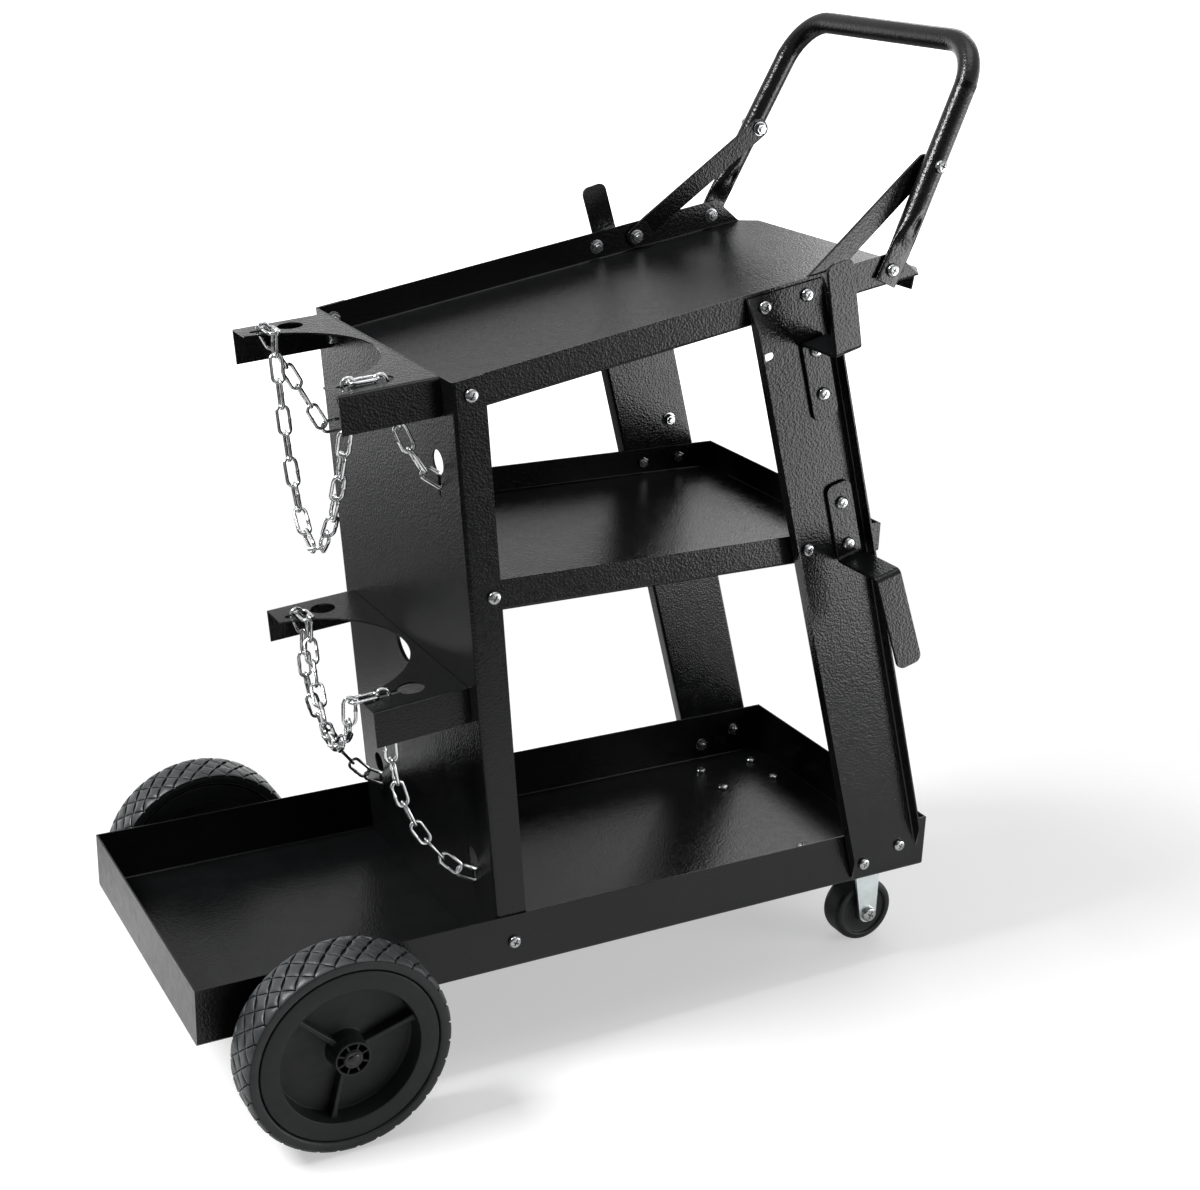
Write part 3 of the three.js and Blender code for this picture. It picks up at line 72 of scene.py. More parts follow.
def turned_y(angle):
    return Matrix.Rotation(angle, 4, "Y")


PANEL = Matrix.Translation((PANEL_FOOT, 0, TRAY_UNDER)) @ turned_y(-PANEL_LEAN)
SHELF = Matrix.Translation(PANEL_TOP) @ turned_y(-SHELF_SLOPE)
LEG = Matrix.Translation((LEG_FOOT, 0, TRAY_UNDER)) @ turned_y(-LEG_LEAN)
HANDLE_BOLT = SHELF @ Vector((SHELF_LENGTH - 42.3, 0, SHELF_BOLT))
HANDLE = Matrix.Translation(HANDLE_BOLT) @ turned_y(HANDLE_LEAN)


def leg_at_shelf(across, level):
    start = (SHELF.inverted() @ (LEG @ Vector((across, 0, 0)))).z
    return (level - start) / math.cos(LEG_LEAN - SHELF_SLOPE)


LEG_TOP = [leg_at_shelf(across, SHELF_BOLT) for across in (15.5, 56.5)]
LEG_TILT = math.atan((TRAY_HALF - SHELF_HALF) / (LEG_TOP[0] - FOOT_BOLT))


def leg_place(side):
    foot = Matrix.Translation((0, side * (TRAY_HALF + 0.3), FOOT_BOLT))
    return LEG @ foot @ Matrix.Rotation(side * LEG_TILT, 4, "X")


# Finishes: each is a principled surface with its own grain, roughness and tone
def noise(tree, place, scale, detail=2.0):
    texture = tree.nodes.new("ShaderNodeTexNoise")
    texture.inputs["Scale"].default_value = scale
    texture.inputs["Detail"].default_value = detail
    tree.links.new(place, texture.inputs["Vector"])
    return texture.outputs["Fac"]


def pebbles(tree, place, scale):
    texture = tree.nodes.new("ShaderNodeTexVoronoi")
    texture.feature = "SMOOTH_F1"
    texture.inputs["Scale"].default_value = scale
    texture.inputs["Smoothness"].default_value = 0.8
    tree.links.new(place, texture.inputs["Vector"])
    return texture.outputs["Distance"]


def spread(tree, value, low, high):
    ranged = tree.nodes.new("ShaderNodeMapRange")
    ranged.inputs["From Min"].default_value = 0.3
    ranged.inputs["From Max"].default_value = 0.7
    ranged.inputs["To Min"].default_value = low
    ranged.inputs["To Max"].default_value = high
    tree.links.new(value, ranged.inputs["Value"])
    return ranged.outputs["Result"]


def finish(name, dark, light, roughness, bumps, metallic=0.0, specular=0.5, patch=40):
    """Colours dark to light and roughness low to high over patches; bumps are (pattern, grains per metre, height)."""
    material = bpy.data.materials.new(name)
    material.use_nodes = True
    tree = material.node_tree
    surface = tree.nodes["Principled BSDF"]
    surface.inputs["Metallic"].default_value = metallic
    surface.inputs["Specular IOR Level"].default_value = specular
    place = tree.nodes.new("ShaderNodeTexCoord").outputs["Object"]
    mixed = tree.nodes.new("ShaderNodeMix")
    mixed.data_type = "RGBA"
    mixed.inputs["A"].default_value = (*dark, 1)
    mixed.inputs["B"].default_value = (*light, 1)
    tree.links.new(spread(tree, noise(tree, place, patch, 5), 0, 1), mixed.inputs["Factor"])
    tree.links.new(mixed.outputs["Result"], surface.inputs["Base Color"])
    tree.links.new(spread(tree, noise(tree, place, 3 * patch, 4), *roughness), surface.inputs["Roughness"])
    normal = None
    for pattern, scale, height in bumps:
        bump = tree.nodes.new("ShaderNodeBump")
        bump.inputs["Distance"].default_value = height * MM
        tree.links.new(pattern(tree, place, scale), bump.inputs["Height"])
        if normal:
            tree.links.new(normal, bump.inputs["Normal"])
        normal = bump.outputs["Normal"]
    tree.links.new(normal, surface.inputs["Normal"])
    return material


FINISHES = {
    "coat": finish("hammered_coat", (0.004, 0.0043, 0.0046), (0.006, 0.0064, 0.0068), (0.15, 0.24),
                   [(pebbles, 520, 0.18), (noise, 900, 0.12), (noise, 12, 0.4)], specular=0.3),
    "gloss": finish("gloss_coat", (0.004, 0.004, 0.0043), (0.006, 0.006, 0.0064), (0.18, 0.28),
                    [(pebbles, 460, 0.2), (noise, 900, 0.12), (noise, 60, 0.10)], specular=0.4),
    "zinc": finish("zinc_plate", (0.33, 0.34, 0.35), (0.48, 0.49, 0.49), (0.16, 0.30),
                   [(noise, 1500, 0.03), (noise, 260, 0.05)], metallic=1.0, patch=160),
    "fork": finish("pale_zinc", (0.60, 0.65, 0.65), (0.70, 0.75, 0.75), (0.34, 0.46),
                   [(noise, 1200, 0.03), (noise, 120, 0.06)], metallic=1.0, patch=90),
    "chain": finish("bright_zinc", (0.60, 0.61, 0.62), (0.82, 0.83, 0.84), (0.12, 0.26),
                    [(noise, 900, 0.05)], metallic=1.0, patch=120),
    "cap": finish("dark_steel", (0.03, 0.03, 0.03), (0.05, 0.05, 0.05), (0.12, 0.2),
                  [(noise, 600, 0.03)], metallic=1.0, patch=200),
    "rubber": finish("tyre_rubber", (0.010, 0.0112, 0.0118), (0.017, 0.0188, 0.0198), (0.40, 0.52),
                     [(noise, 1100, 0.10), (noise, 160, 0.12)], specular=0.35, patch=70),
    # The tread blocks are lighter rubber than the tyre's side: a painted highlight where the tread catches the light
    # from above.
    "tread": finish("tread_painted_highlight_rubber", (0.024, 0.0268, 0.0285), (0.050, 0.0552, 0.058), (0.34, 0.50),
                    [(noise, 1100, 0.10), (noise, 160, 0.12)], patch=70),
    "plastic": finish("moulded_plastic", (0.0075, 0.0084, 0.009), (0.0105, 0.0116, 0.0124), (0.42, 0.54),
                      [(noise, 1300, 0.05), (noise, 40, 0.2)], specular=0.28, patch=50),
}


# Mesh tools
def show(name, mesh, look, body, stands_for=(), sharp=38):
    mesh.materials.clear()
    mesh.materials.append(FINISHES[look])
    mesh.shade_smooth()
    mesh.set_sharp_from_angle(angle=math.radians(sharp))
    made = bpy.data.objects.new(name, mesh)
    bpy.context.scene.collection.objects.link(made)
    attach(made, body)
    if stands_for:
        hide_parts(*stands_for)
    return made


def mesh_of(bm, place=Matrix.Identity(4)):
    bmesh.ops.recalc_face_normals(bm, faces=bm.faces)
    mesh = bpy.data.meshes.new("shape")
    bm.to_mesh(mesh)
    bm.free()
    mesh.transform(Matrix.Scale(MM, 4) @ place)
    return mesh


def soften(made, width, weld=False):
    """Rounds the edges of folded sheet, with its flat faces kept flat."""
    if weld:
        join = made.modifiers.new("join", "WELD")
        join.merge_threshold = 1e-6
    flat = made.modifiers.new("flat", "DECIMATE")
    flat.decimate_type = "DISSOLVE"
    flat.angle_limit = math.radians(0.5)
    edge = made.modifiers.new("edge", "BEVEL")
    edge.width = width * MM
    edge.segments = 2
    edge.limit_method = "ANGLE"
    edge.angle_limit = math.radians(42)
    made.modifiers.new("shade", "WEIGHTED_NORMAL")


def strip(bm, a, b):
    """Faces between two rows of points that go round; a row of one point is a tip."""
    count = max(len(a), len(b))
    for i in range(count):
        j = (i + 1) % count
        corners = [a[i % len(a)], a[j % len(a)], b[j % len(b)], b[i % len(b)]]
        bm.faces.new(list(dict.fromkeys(corners)))


def loft(bm, rings, closed=False):
    rows = [[bm.verts.new(p) for p in ring] for ring in rings]
    for a, b in zip(rows, rows[1:]):
        strip(bm, a, b)
    if closed:
        strip(bm, rows[-1], rows[0])
    else:
        for row in (rows[0], rows[-1]):
            if len(row) > 2:
                bm.faces.new(row)


def revolve(bm, profile, steps, closed=True):
    """Turns (radius, y) points about the Y axis."""
    def ring(radius, y):
        if not radius:
            return [Vector((0, y, 0))]
        turns = [TAU * i / steps for i in range(steps)]
        return [Vector((radius * math.cos(t), y, radius * math.sin(t))) for t in turns]
    loft(bm, [ring(radius, y) for radius, y in profile], closed)


def arc(cx, cy, radius, start, end, steps):
    turns = [start + (end - start) * i / steps for i in range(steps + 1)]
    return [(cx + radius * math.cos(t), cy + radius * math.sin(t)) for t in turns]


def eased(profile, radius, steps=4):
    """A closed (radius, y) outline with its corners rounded."""
    points = [Vector(p) for p in profile]
    out = []
    for i, corner in enumerate(points):
        before = points[i - 1] - corner
        after = points[(i + 1) % len(points)] - corner
        reach = min(radius, before.length * 0.45, after.length * 0.45)
        start = corner + before.normalized() * reach
        end = corner + after.normalized() * reach
        for step in range(steps + 1):
            t = step / steps
            out.append(tuple(start * (1 - t) ** 2 + corner * 2 * t * (1 - t) + end * t * t))
    return out


def box(bm, low, high):
    middle = (Vector(low) + Vector(high)) / 2
    size = Vector(high) - Vector(low)
    bmesh.ops.create_cube(bm, matrix=Matrix.Translation(middle) @ Matrix.Diagonal((*size, 1)))


def prism(bm, outline, low, high, place):
    loft(bm, [[place @ Vector((a, b, level)) for a, b in outline] for level in (low, high)])


def carved(mesh, cutter):
    """The mesh with the cutter's mesh taken away."""
    whole = bpy.data.objects.new("whole", mesh)
    tool = bpy.data.objects.new("tool", cutter)
    for made in (whole, tool):
        bpy.context.scene.collection.objects.link(made)
    join = whole.modifiers.new("join", "WELD")
    join.merge_threshold = 1e-6
    cut = whole.modifiers.new("cut", "BOOLEAN")
    cut.object = tool
    cut.solver = "EXACT"
    bpy.context.view_layer.update()
    result = bpy.data.meshes.new_from_object(whole.evaluated_get(bpy.context.evaluated_depsgraph_get()))
    for made in (whole, tool):
        bpy.data.objects.remove(made)
    return result


def fold(points, radius, steps=8):
    """Middle line of a bent bar in (a, b): points and the heading at each."""
    points = [Vector(p) for p in points]
    line = [(points[0], (points[1] - points[0]).normalized())]
    for before, corner, after in zip(points, points[1:], points[2:]):
        into, out = (corner - before).normalized(), (after - corner).normalized()
        swing = into.angle_signed(out)
        run = radius * math.tan(abs(swing) / 2)
        for step in range(steps + 1):
            t = step / steps
            heading = into.copy()
            heading.rotate(Matrix.Rotation(-swing * t, 2))
            side = Vector((-into.y, into.x)) * (-1 if swing > 0 else 1)
            centre = corner - into * run + side * radius
            normal = Vector((-heading.y, heading.x)) * (-1 if swing > 0 else 1)
            line.append((centre - normal * radius, heading))
    line.append((points[-1], (points[-1] - points[-2]).normalized()))
    return line


def bar(line, half, thickness, rounding, place):
    """A flat bar along a middle line in (y, z), wide along x, with rounded corners at both ends."""
    lengths = [0.0]
    for (a, _), (b, _) in zip(line, line[1:]):
        lengths.append(lengths[-1] + (b - a).length)
    total = lengths[-1]
    extra = [rounding * (1 - math.cos(math.pi / 2 * i / 8)) for i in range(9)]
    marks = sorted(set(lengths + extra + [total - e for e in extra]))
    bm = bmesh.new()
    rings = []
    for mark in marks:
        i = max(k for k in range(len(lengths) - 1) if lengths[k] <= mark + 1e-9)
        t = (mark - lengths[i]) / max(lengths[i + 1] - lengths[i], 1e-9)
        point = line[i][0].lerp(line[i + 1][0], t)
        heading = line[i][1].lerp(line[i + 1][1], t).normalized()
        edge = min(mark, total - mark, rounding)
        reach = half - rounding + math.sqrt(max(rounding ** 2 - (rounding - edge) ** 2, 0))
        normal = Vector((-heading.y, heading.x)) * thickness / 2
        rings.append([
            place @ Vector((x * reach, point.x + n * normal.x, point.y + n * normal.y))
            for x, n in ((-1, -1), (1, -1), (1, 1), (-1, 1))
        ])
    loft(bm, rings)
    return mesh_of(bm)


# Folded sheet: the body pieces keep their CAD shape, with eased edges and smooth round openings
def circle(cx, cy, radius, steps):
    return arc(cx, cy, radius, 0, TAU * (1 - 1 / steps), steps - 1)


def add_sheets():
    for name in ("bottom_tray", "top_shelf", "middle_shelf", "left_leg", "right_leg", "left_axle_strap",
                 "right_axle_strap"):
        nodes[name].data.materials.clear()
        nodes[name].data.materials.append(FINISHES["coat"])
        nodes[name].data.shade_smooth()
        soften(nodes[name], 0.35, weld=True)
    flat = PANEL @ Matrix(((0, 0, 1, 0), (1, 0, 0, 0), (0, 1, 0, 0), (0, 0, 0, 1)))
    window = arc(0, BRACKETS["lower"]["top"] - 2 * SHEET, 22.05, math.pi, TAU, 36)
    bm = bmesh.new()
    for spec in BRACKETS.values():
        for side in SIDES.values():
            prism(bm, circle(side * KEYHOLE_Y, spec["top"] - spec["drop"], 10.05, 48), -5, 5, flat)
    prism(bm, window, -5, 5, flat)
    mesh = carved(nodes["back_panel"].data.copy(), mesh_of(bm))
    soften(show("back_panel_sheet", mesh, "coat", "cart", ["back_panel"]), 0.35)
    for name, spec in BRACKETS.items():
        bm = bmesh.new()
        prism(bm, circle(-97, 0, 92.05, 180), spec["top"] - 5, spec["top"] + 5, PANEL)
        for side in SIDES.values():
            prism(bm, circle(-39, side * SLOT_OFFSET, 11.05, 48), spec["top"] - 5, spec["top"] + 5, PANEL)
        if name == "lower":
            prism(bm, window, -5, 5, flat)
        mesh = carved(nodes[f"{name}_bracket"].data.copy(), mesh_of(bm))
        soften(show(f"{name}_bracket_sheet", mesh, "coat", "cart", [f"{name}_bracket"]), 0.35)


# Hooks and braces: bent flat bar
HOOKS = {
    "upper": {"drop": 38, "standoff": 50, "blade": 78, "flare": math.radians(5.5), "turn": 1},
    "lower": {"drop": 240, "standoff": 56, "blade": 84, "flare": math.radians(8), "turn": -1},
}


def add_hooks():
    for hand, side in SIDES.items():
        for name, spec in HOOKS.items():
            bend = LEG_TOP[1] - FOOT_BOLT - spec["drop"]
            seat = side * (SHEET + 0.3 + 1.5)
            turn, out = spec["turn"], side * spec["standoff"]
            line = fold([
                (seat, bend - turn * 70.5),
                (seat, bend),
                (seat + out, bend),
                (seat + out + side * spec["blade"] * math.tan(spec["flare"]), bend + turn * spec["blade"]),
            ], 4)
            place = leg_place(side) @ Matrix.Translation((54.5, 0, 0))
            mesh = bar(line, 12.5, 3, 7, place)
            soften(show(f"{hand}_{name}_hook_bar", mesh, "coat", "cart", [f"{hand}_{name}_hook"]), 0.5)


def handle_side(reach):
    return SHELF_HALF + 0.3 + TUBE_FLAT / 2 - max(0, reach - FLAT_ABOVE) * math.tan(HANDLE_TOE)


BRACE_SEAT = 0.3 + 9 * math.tan(HANDLE_TOE)


def add_braces():
    rise = BRACE_REACH - (TUBE / 2 + BRACE_SEAT + 1.5) * math.sin(HANDLE_TOE)
    foot = LEG @ Vector((56.5, 0, LEG_TOP[1]))
    run = HANDLE @ Vector((0, 0, rise)) - foot
    angle = math.atan2(run.z, run.x)
    slope = math.tan(HANDLE_TOE) * math.cos(math.pi / 2 - HANDLE_LEAN - angle)
    low = SHELF_HALF - SHEET - 0.3 - 1.5
    high = handle_side(BRACE_REACH) - TUBE / 2 / math.cos(HANDLE_TOE) - BRACE_SEAT - 1.5
    upright = Matrix(((0, 0, 1, 0), (0, 1, 0, 0), (-1, 0, 0, 0), (0, 0, 0, 1)))
    place = Matrix.Translation(foot) @ turned_y(-angle) @ upright
    for hand, side in SIDES.items():
        line = fold([
            (side * low, -8.5),
            (side * low, 16),
            (side * (high + slope * 16), run.length - 16),
            (side * (high - slope * 8.5), run.length + 8.5),
        ], 4)
        mesh = bar(line, 9, 3, 7.5, place)
        soften(show(f"{hand}_brace_bar", mesh, "coat", "cart", [f"{hand}_brace"]), 0.4)


# Handle: one bent tube, pressed flat at its lower ends with a crease where the round begins
def smooth(t):
    t = min(max(t, 0), 1)
    return t * t * (3 - 2 * t)


def handle_ring(y, z, heading, reach, wall):
    flat = 1 - smooth((reach - FLAT_ABOVE) / FLAT_RUNOUT)
    wide = FLAT_WIDTH * flat + TUBE * (1 - flat)
    thick = TUBE_FLAT * flat + TUBE * (1 - flat)
    ring = []
    for i in range(40):
        turn = TAU * i / 40
        cos, sin = math.cos(turn), math.sin(turn)
        across = math.copysign(abs(cos) ** (1 - flat / 2), cos) * (thick / 2 - wall)
        deep = math.copysign(abs(sin) ** (1 - flat / 2), sin) * (wide / 2 - wall)
        across *= 1 - 0.42 * math.exp(-((reach - 41) / 7) ** 2) * math.exp(-((sin - 0.15) / 0.3) ** 2)
        across *= 1 + 0.16 * flat * (1 - flat) * math.sin(5 * sin + reach / 3)
        ring.append(Vector((deep, y - across * math.sin(heading), z + across * math.cos(heading))))
    return ring


def add_handle():
    up, toed = math.pi / 2, math.pi / 2 + HANDLE_TOE
    half = [(handle_side(s), s, up if s <= FLAT_ABOVE else toed, s)
            for s in [-12, -11, -6, 0, 8, 14, *range(16, 72, 2), *range(76, 165, 8)]]
    corner = handle_side(HANDLE_REACH)
    run = TUBE_BEND * math.tan((math.pi - toed) / 2)
    bend = arc(corner - run, HANDLE_REACH - TUBE_BEND, TUBE_BEND, HANDLE_TOE, up, 18)
    half += [(y, z, toed + (math.pi - toed) * i / 18, z) for i, (y, z) in enumerate(bend)]
    half += [(bend[-1][0] * (1 - i / 6), HANDLE_REACH, math.pi, HANDLE_REACH) for i in range(1, 7)]
    mirrored = [(-y, z, -heading, reach) for y, z, heading, reach in half[-2::-1]]
    outer = [handle_ring(*station, 0) for station in half + mirrored]
    ends = []
    for y, z, heading, reach in (half[0], mirrored[-1]):
        ends.append([handle_ring(y, z + deep, heading, reach, TUBE_WALL) for deep in (0, 8)])
    bm = bmesh.new()
    loft(bm, ends[0][::-1] + outer + ends[1])
    show("handle_tube", mesh_of(bm, HANDLE), "gloss", "cart", ["handle"], sharp=50)


# Chains: welded links of round wire, laid along the same runs as in the frame
WIRE, LINK_SPAN, LINK_BOW, PITCH = 1.5, 24.1, 5.0, 21.5
LINK_REACH, CHAIN_LIFT, LINK_HOLD = 1.3, 2.0, 1.5


def add_link(bm, start, end, across):
    along = (end - start).normalized()
    wide = (across - along * across.dot(along)).normalized()
    normal = along.cross(wide)
    middle = (start + end) / 2
    straight = LINK_SPAN / 2 - LINK_BOW
    path = []
    for turn in (0, math.pi):
        shift = straight if not turn else -straight
        path += [(shift + LINK_BOW * math.cos(t), LINK_BOW * math.sin(t), t, 1.0)
                 for t in (turn - math.pi / 2 + math.pi * i / 12 for i in range(13))]
        if not turn:
            path += [(place, LINK_BOW, math.pi / 2, swell) for place, swell in
                     ((2.4, 1.0), (1.3, 1.1), (0.5, 1.18), (-0.5, 1.18), (-1.3, 1.1), (-2.4, 1.0))]
    rings = []
    for a, b, turn, swell in path:
        out = along * math.cos(turn) + wide * math.sin(turn)
        centre = middle + along * a + wide * b
        rings.append([centre + (out * math.cos(t) + normal * math.sin(t)) * WIRE * swell
                      for t in (TAU * k / 12 for k in range(12))])
    loft(bm, rings, closed=True)


def hanging_points(start, end, count):
    chord = (end - start).normalized()
    bow = (chord * chord.z - Z).normalized()
    def walk(sag):
        picked = [start]
        for i in range(1, 1201):
            t = i / 1200
            point = start.lerp(end, t) + bow * (4 * sag * t * (1 - t))
            if (point - picked[-1]).length >= PITCH:
                picked.append(point)
        return picked
    low, high = 0.0, count * PITCH
    for _ in range(24):
        middle = (low + high) / 2
        picked = walk(middle)
        if (len(picked) - 1) * PITCH + (picked[-1] - end).length < count * PITCH:
            low = middle
        else:
            high = middle
    return walk(low)[:count] + [end]


def add_run(bm, points, sideways, first=0):
    for i, (start, end) in enumerate(zip(points, points[1:])):
        along = (end - start).normalized()
        across = sideways.cross(along) if (first + i) % 2 else sideways
        add_link(bm, start - along * LINK_REACH, end + along * LINK_REACH, across)


def arm_links(top, route, side):
    """Panel frame: ends of the link that lies on the arm, how it lies, and where the tail comes up."""
    y, z, hold = side * SLOT_OFFSET, top + CHAIN_LIFT, 1.9
    rise = Vector((-CHAIN_REST, y, z + 3.7))
    if route == "slot":
        pivot = Vector((-CHAIN_REST, y, z))
        held = pivot + X * LINK_SPAN
        return held, pivot, Y, held + Z * hold
    if route == "tip":
        held = Vector((hold - CHAIN_REST - LINK_BOW, y, z))
        return held, held - X * LINK_SPAN, Y, rise
    held = Vector((LINK_BOW - CHAIN_REST, y + side * hold, z))
    return held, held - Y * side * LINK_SPAN, X, rise


def add_chains():
    for name, spec in BRACKETS.items():
        pivots = []
        for hand, side in SIDES.items():
            held, pivot, across, rise = arm_links(spec["top"], spec["routes"][hand], side)
            tilt = spec["tilts"][hand]
            anchor = spec["top"] - spec["drop"] - KEYHOLE_SLOT + 6.7 / math.cos(tilt) + 0.4
            behind = Vector((SHEET + CHAIN_LIFT + LINK_HOLD, side * KEYHOLE_Y, anchor))
            outwards = Vector((-math.cos(tilt), 0, math.sin(tilt)))
            ahead = behind + outwards * LINK_SPAN
            bend = behind + outwards * LINK_BOW
            shift = SHEET + CHAIN_LIFT - bend.x
            stop = bend + Vector((shift, 0, -math.sqrt(LINK_BOW ** 2 - shift ** 2)))
            course = (ahead - rise).normalized()
            low = rise + course * LINK_SPAN
            bm = bmesh.new()
            add_link(bm, held, pivot, across)
            add_link(bm, rise, low, X)
            ends = low - course * LINK_REACH, ahead - outwards * LINK_REACH
            add_run(bm, hanging_points(*ends, spec["tails"][hand]), Y)
            add_link(bm, behind, ahead, Z)
            add_link(bm, stop, stop - Z * LINK_SPAN, Y)
            label = f"{name}_chain_{hand}_tail"
            show(f"{label}_links", mesh_of(bm, PANEL), "chain", "cart", [label], sharp=60)
            pivots.append(PANEL @ pivot)
        line = (pivots[1] - pivots[0]).normalized()
        sideways = line.cross(Z).normalized()
        down = line.cross(sideways)
        tops = [pivot - down * 2.6 * WIRE for pivot in pivots]
        ends = [top + down * LINK_SPAN for top in tops]
        bm = bmesh.new()
        add_link(bm, tops[0], ends[0], sideways)
        starts = [end - down * LINK_REACH for end in ends]
        add_run(bm, hanging_points(*starts, spec["loop"] - 2), sideways, 1)
        add_link(bm, tops[1], ends[1], Y)
        label = f"{name}_chain_loop"
        show(f"{label}_links", mesh_of(bm), "chain", f"{name}_loop", [label], sharp=60)


# Screws: pan heads with a cross recess, and a hexagon nut on the far side
def screw_mesh(grip, radius=2.9, nut=True):
    head, height = radius * 1.95, radius * 1.2
    bm = bmesh.new()
    crown = arc(head - 2.4, -height + 2.4, 2.4, -math.pi / 2, 0, 6)
    top = [(0, -height - 0.25), (head * 0.25, -height - 0.22), (head * 0.45, -height - 0.1)]
    revolve(bm, top + crown + [(head, -0.25), (head - 0.3, 0), (0, 0)], 40, closed=False)
    tool = bmesh.new()
    for turn in (0, math.pi / 2):
        place = Matrix.Rotation(turn + 0.5, 4, "Y")
        wide, narrow = radius * 1.25, radius * 0.6
        slot = [(wide, 0.75, -height - 2), (narrow, 0.5, -height * 0.3)]
        loft(tool, [[place @ Vector((sx * a, y, sz * b)) for sx, sz in ((-1, -1), (1, -1), (1, 1), (-1, 1))]
                    for a, b, y in slot])
        whole = mesh_of(bm)
        mesh = carved(whole, mesh_of(tool))
        bm, tool = bmesh.new(), bmesh.new()
        mesh.transform(Matrix.Scale(1 / MM, 4))
        bm.from_mesh(mesh)
    end = grip + (radius * 2.2 if nut else 2)
    shank = [(0, -0.2), (radius, -0.2)]
    threads = max(int((end - grip) / 0.8), 1)
    for i in range(threads):
        at = grip + (end - grip) * i / threads
        shank += [(radius, at), (radius * 0.88, at + (end - grip) / threads / 2)]
    revolve(bm, shank + [(radius, end - 0.4), (radius * 0.8, end), (0, end)], 24, closed=False)
    if nut:
        far = grip + radius * 1.6
        for sides, profile in ((6, [(1.62, grip), (1.95, grip + 0.7), (1.95, far - 0.7), (1.62, far)]),):
            revolve(bm, [(radius * r, y) for r, y in profile] + [(radius * 0.9, far), (radius * 0.9, grip)], sides)
        washer = [(radius * 0.95, grip - 0.02), (radius * 2.3, grip - 0.02), (radius * 2.3, grip + 0.5),
                  (radius * 0.95, grip + 0.5)]
        revolve(bm, eased(washer, 0.15, 2), 32)
    return bm


def along(axis, origin):
    """A place whose +Y runs along the axis."""
    return Matrix.Translation(origin) @ Y.rotation_difference(axis).to_matrix().to_4x4()


def add_screw(name, origin, axis, grip, stands_for=(), radius=2.9, nut=True, body="cart"):
    bm = screw_mesh(grip, radius, nut)
    show(name, mesh_of(bm, along(axis, origin)), "zinc", body, stands_for, sharp=32)


def add_screws():
    for hand, side in SIDES.items():
        inwards = Vector((0, -side, 0))
        for part in ("panel_tray", "panel_middle", "panel_top", "handle", "leg_foot_rear", "leg_foot_front",
                     "leg_top_rear", "leg_top_front"):
            label = f"{hand}_{part}_screw"
            low, high = (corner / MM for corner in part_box(label))
            middle = (low + high) / 2
            seat = (high.y if side > 0 else -low.y) - 3.78
            grip = high.y - low.y - 10.46
            add_screw(f"{label}_set", Vector((middle.x, side * seat, middle.z)), inwards, grip, [label])
        face = handle_side(BRACE_REACH) + TUBE / 2 * math.cos(HANDLE_TOE)
        rise = BRACE_REACH + TUBE / 2 * math.sin(HANDLE_TOE)
        axis = HANDLE.to_3x3() @ Vector((0, -side * math.cos(HANDLE_TOE), -math.sin(HANDLE_TOE)))
        label = f"{hand}_brace_screw"
        add_screw(f"{label}_set", HANDLE @ Vector((0, side * face, rise)), axis, TUBE + BRACE_SEAT + 3.3, [label])
        place = leg_place(side)
        axis = place.to_3x3() @ inwards
        for name, across, up, out in (("shelf_rear", 15.5, 347.5, SHEET), ("shelf_front", 54.5, 338.5, 4.8),
                                      ("lower_hook", 54.5, 377.8, 4.8), ("upper_hook_top", 54.5, 518.6, 4.8),
                                      ("upper_hook_low", 54.5, 479.4, 4.8)):
            spot = place @ Vector((across, side * out, up - FOOT_BOLT))
            grip = out + (2.0 if name.startswith("shelf") else 0)
            add_screw(f"{hand}_{name}_screw_set", spot, axis, grip)
        for i, x in enumerate((-31, 31)):
            for j, y in enumerate((-22, 22)):
                spot = Vector((CASTER_X + x, side * CASTER_Y + y, TRAY_UNDER + SHEET))
                add_screw(f"{hand}_caster_bolt_{i}{j}", spot, -Z, 4.3)
    axis = PANEL.to_3x3() @ X
    for name, spec in BRACKETS.items():
        for hand, side in SIDES.items():
            spot = PANEL @ Vector((-0.3 - SHEET, side * 104, spec["top"] - 17.5))
            add_screw(f"{name}_bracket_{hand}_screw_set", spot, axis, 3.3)


# Rear wheels
TREAD_COUNT, TREAD_PITCH, TREAD_DEPTH = 31, 10.2, 2.6
SIDE_START, SIDE_END = 23.7, 24.4
CROWN, SHOULDER, SHOULDER_TILT, SHOULDER_DROP = 11.0, 10.0, 1.2, 0.4


def tread_point(turn, run, sink):
    """A point of the tyre's outside: run is the distance from its middle, over the shoulder and down the side."""
    size = abs(run)
    tilt = min(max(size - CROWN, 0) / SHOULDER, SHOULDER_TILT)
    rest = max(size - CROWN - SHOULDER * SHOULDER_TILT, 0)
    y = min(size, CROWN) + SHOULDER * math.sin(tilt) + 0.05 * rest - 0.5 * sink * math.sin(0.7 * tilt)
    r = WHEEL_RADIUS - SHOULDER * (1 - math.cos(tilt)) * SHOULDER_DROP - rest - sink * math.cos(0.7 * tilt)
    return Vector((r * math.cos(turn), math.copysign(y, run) if run else 0, r * math.sin(turn)))


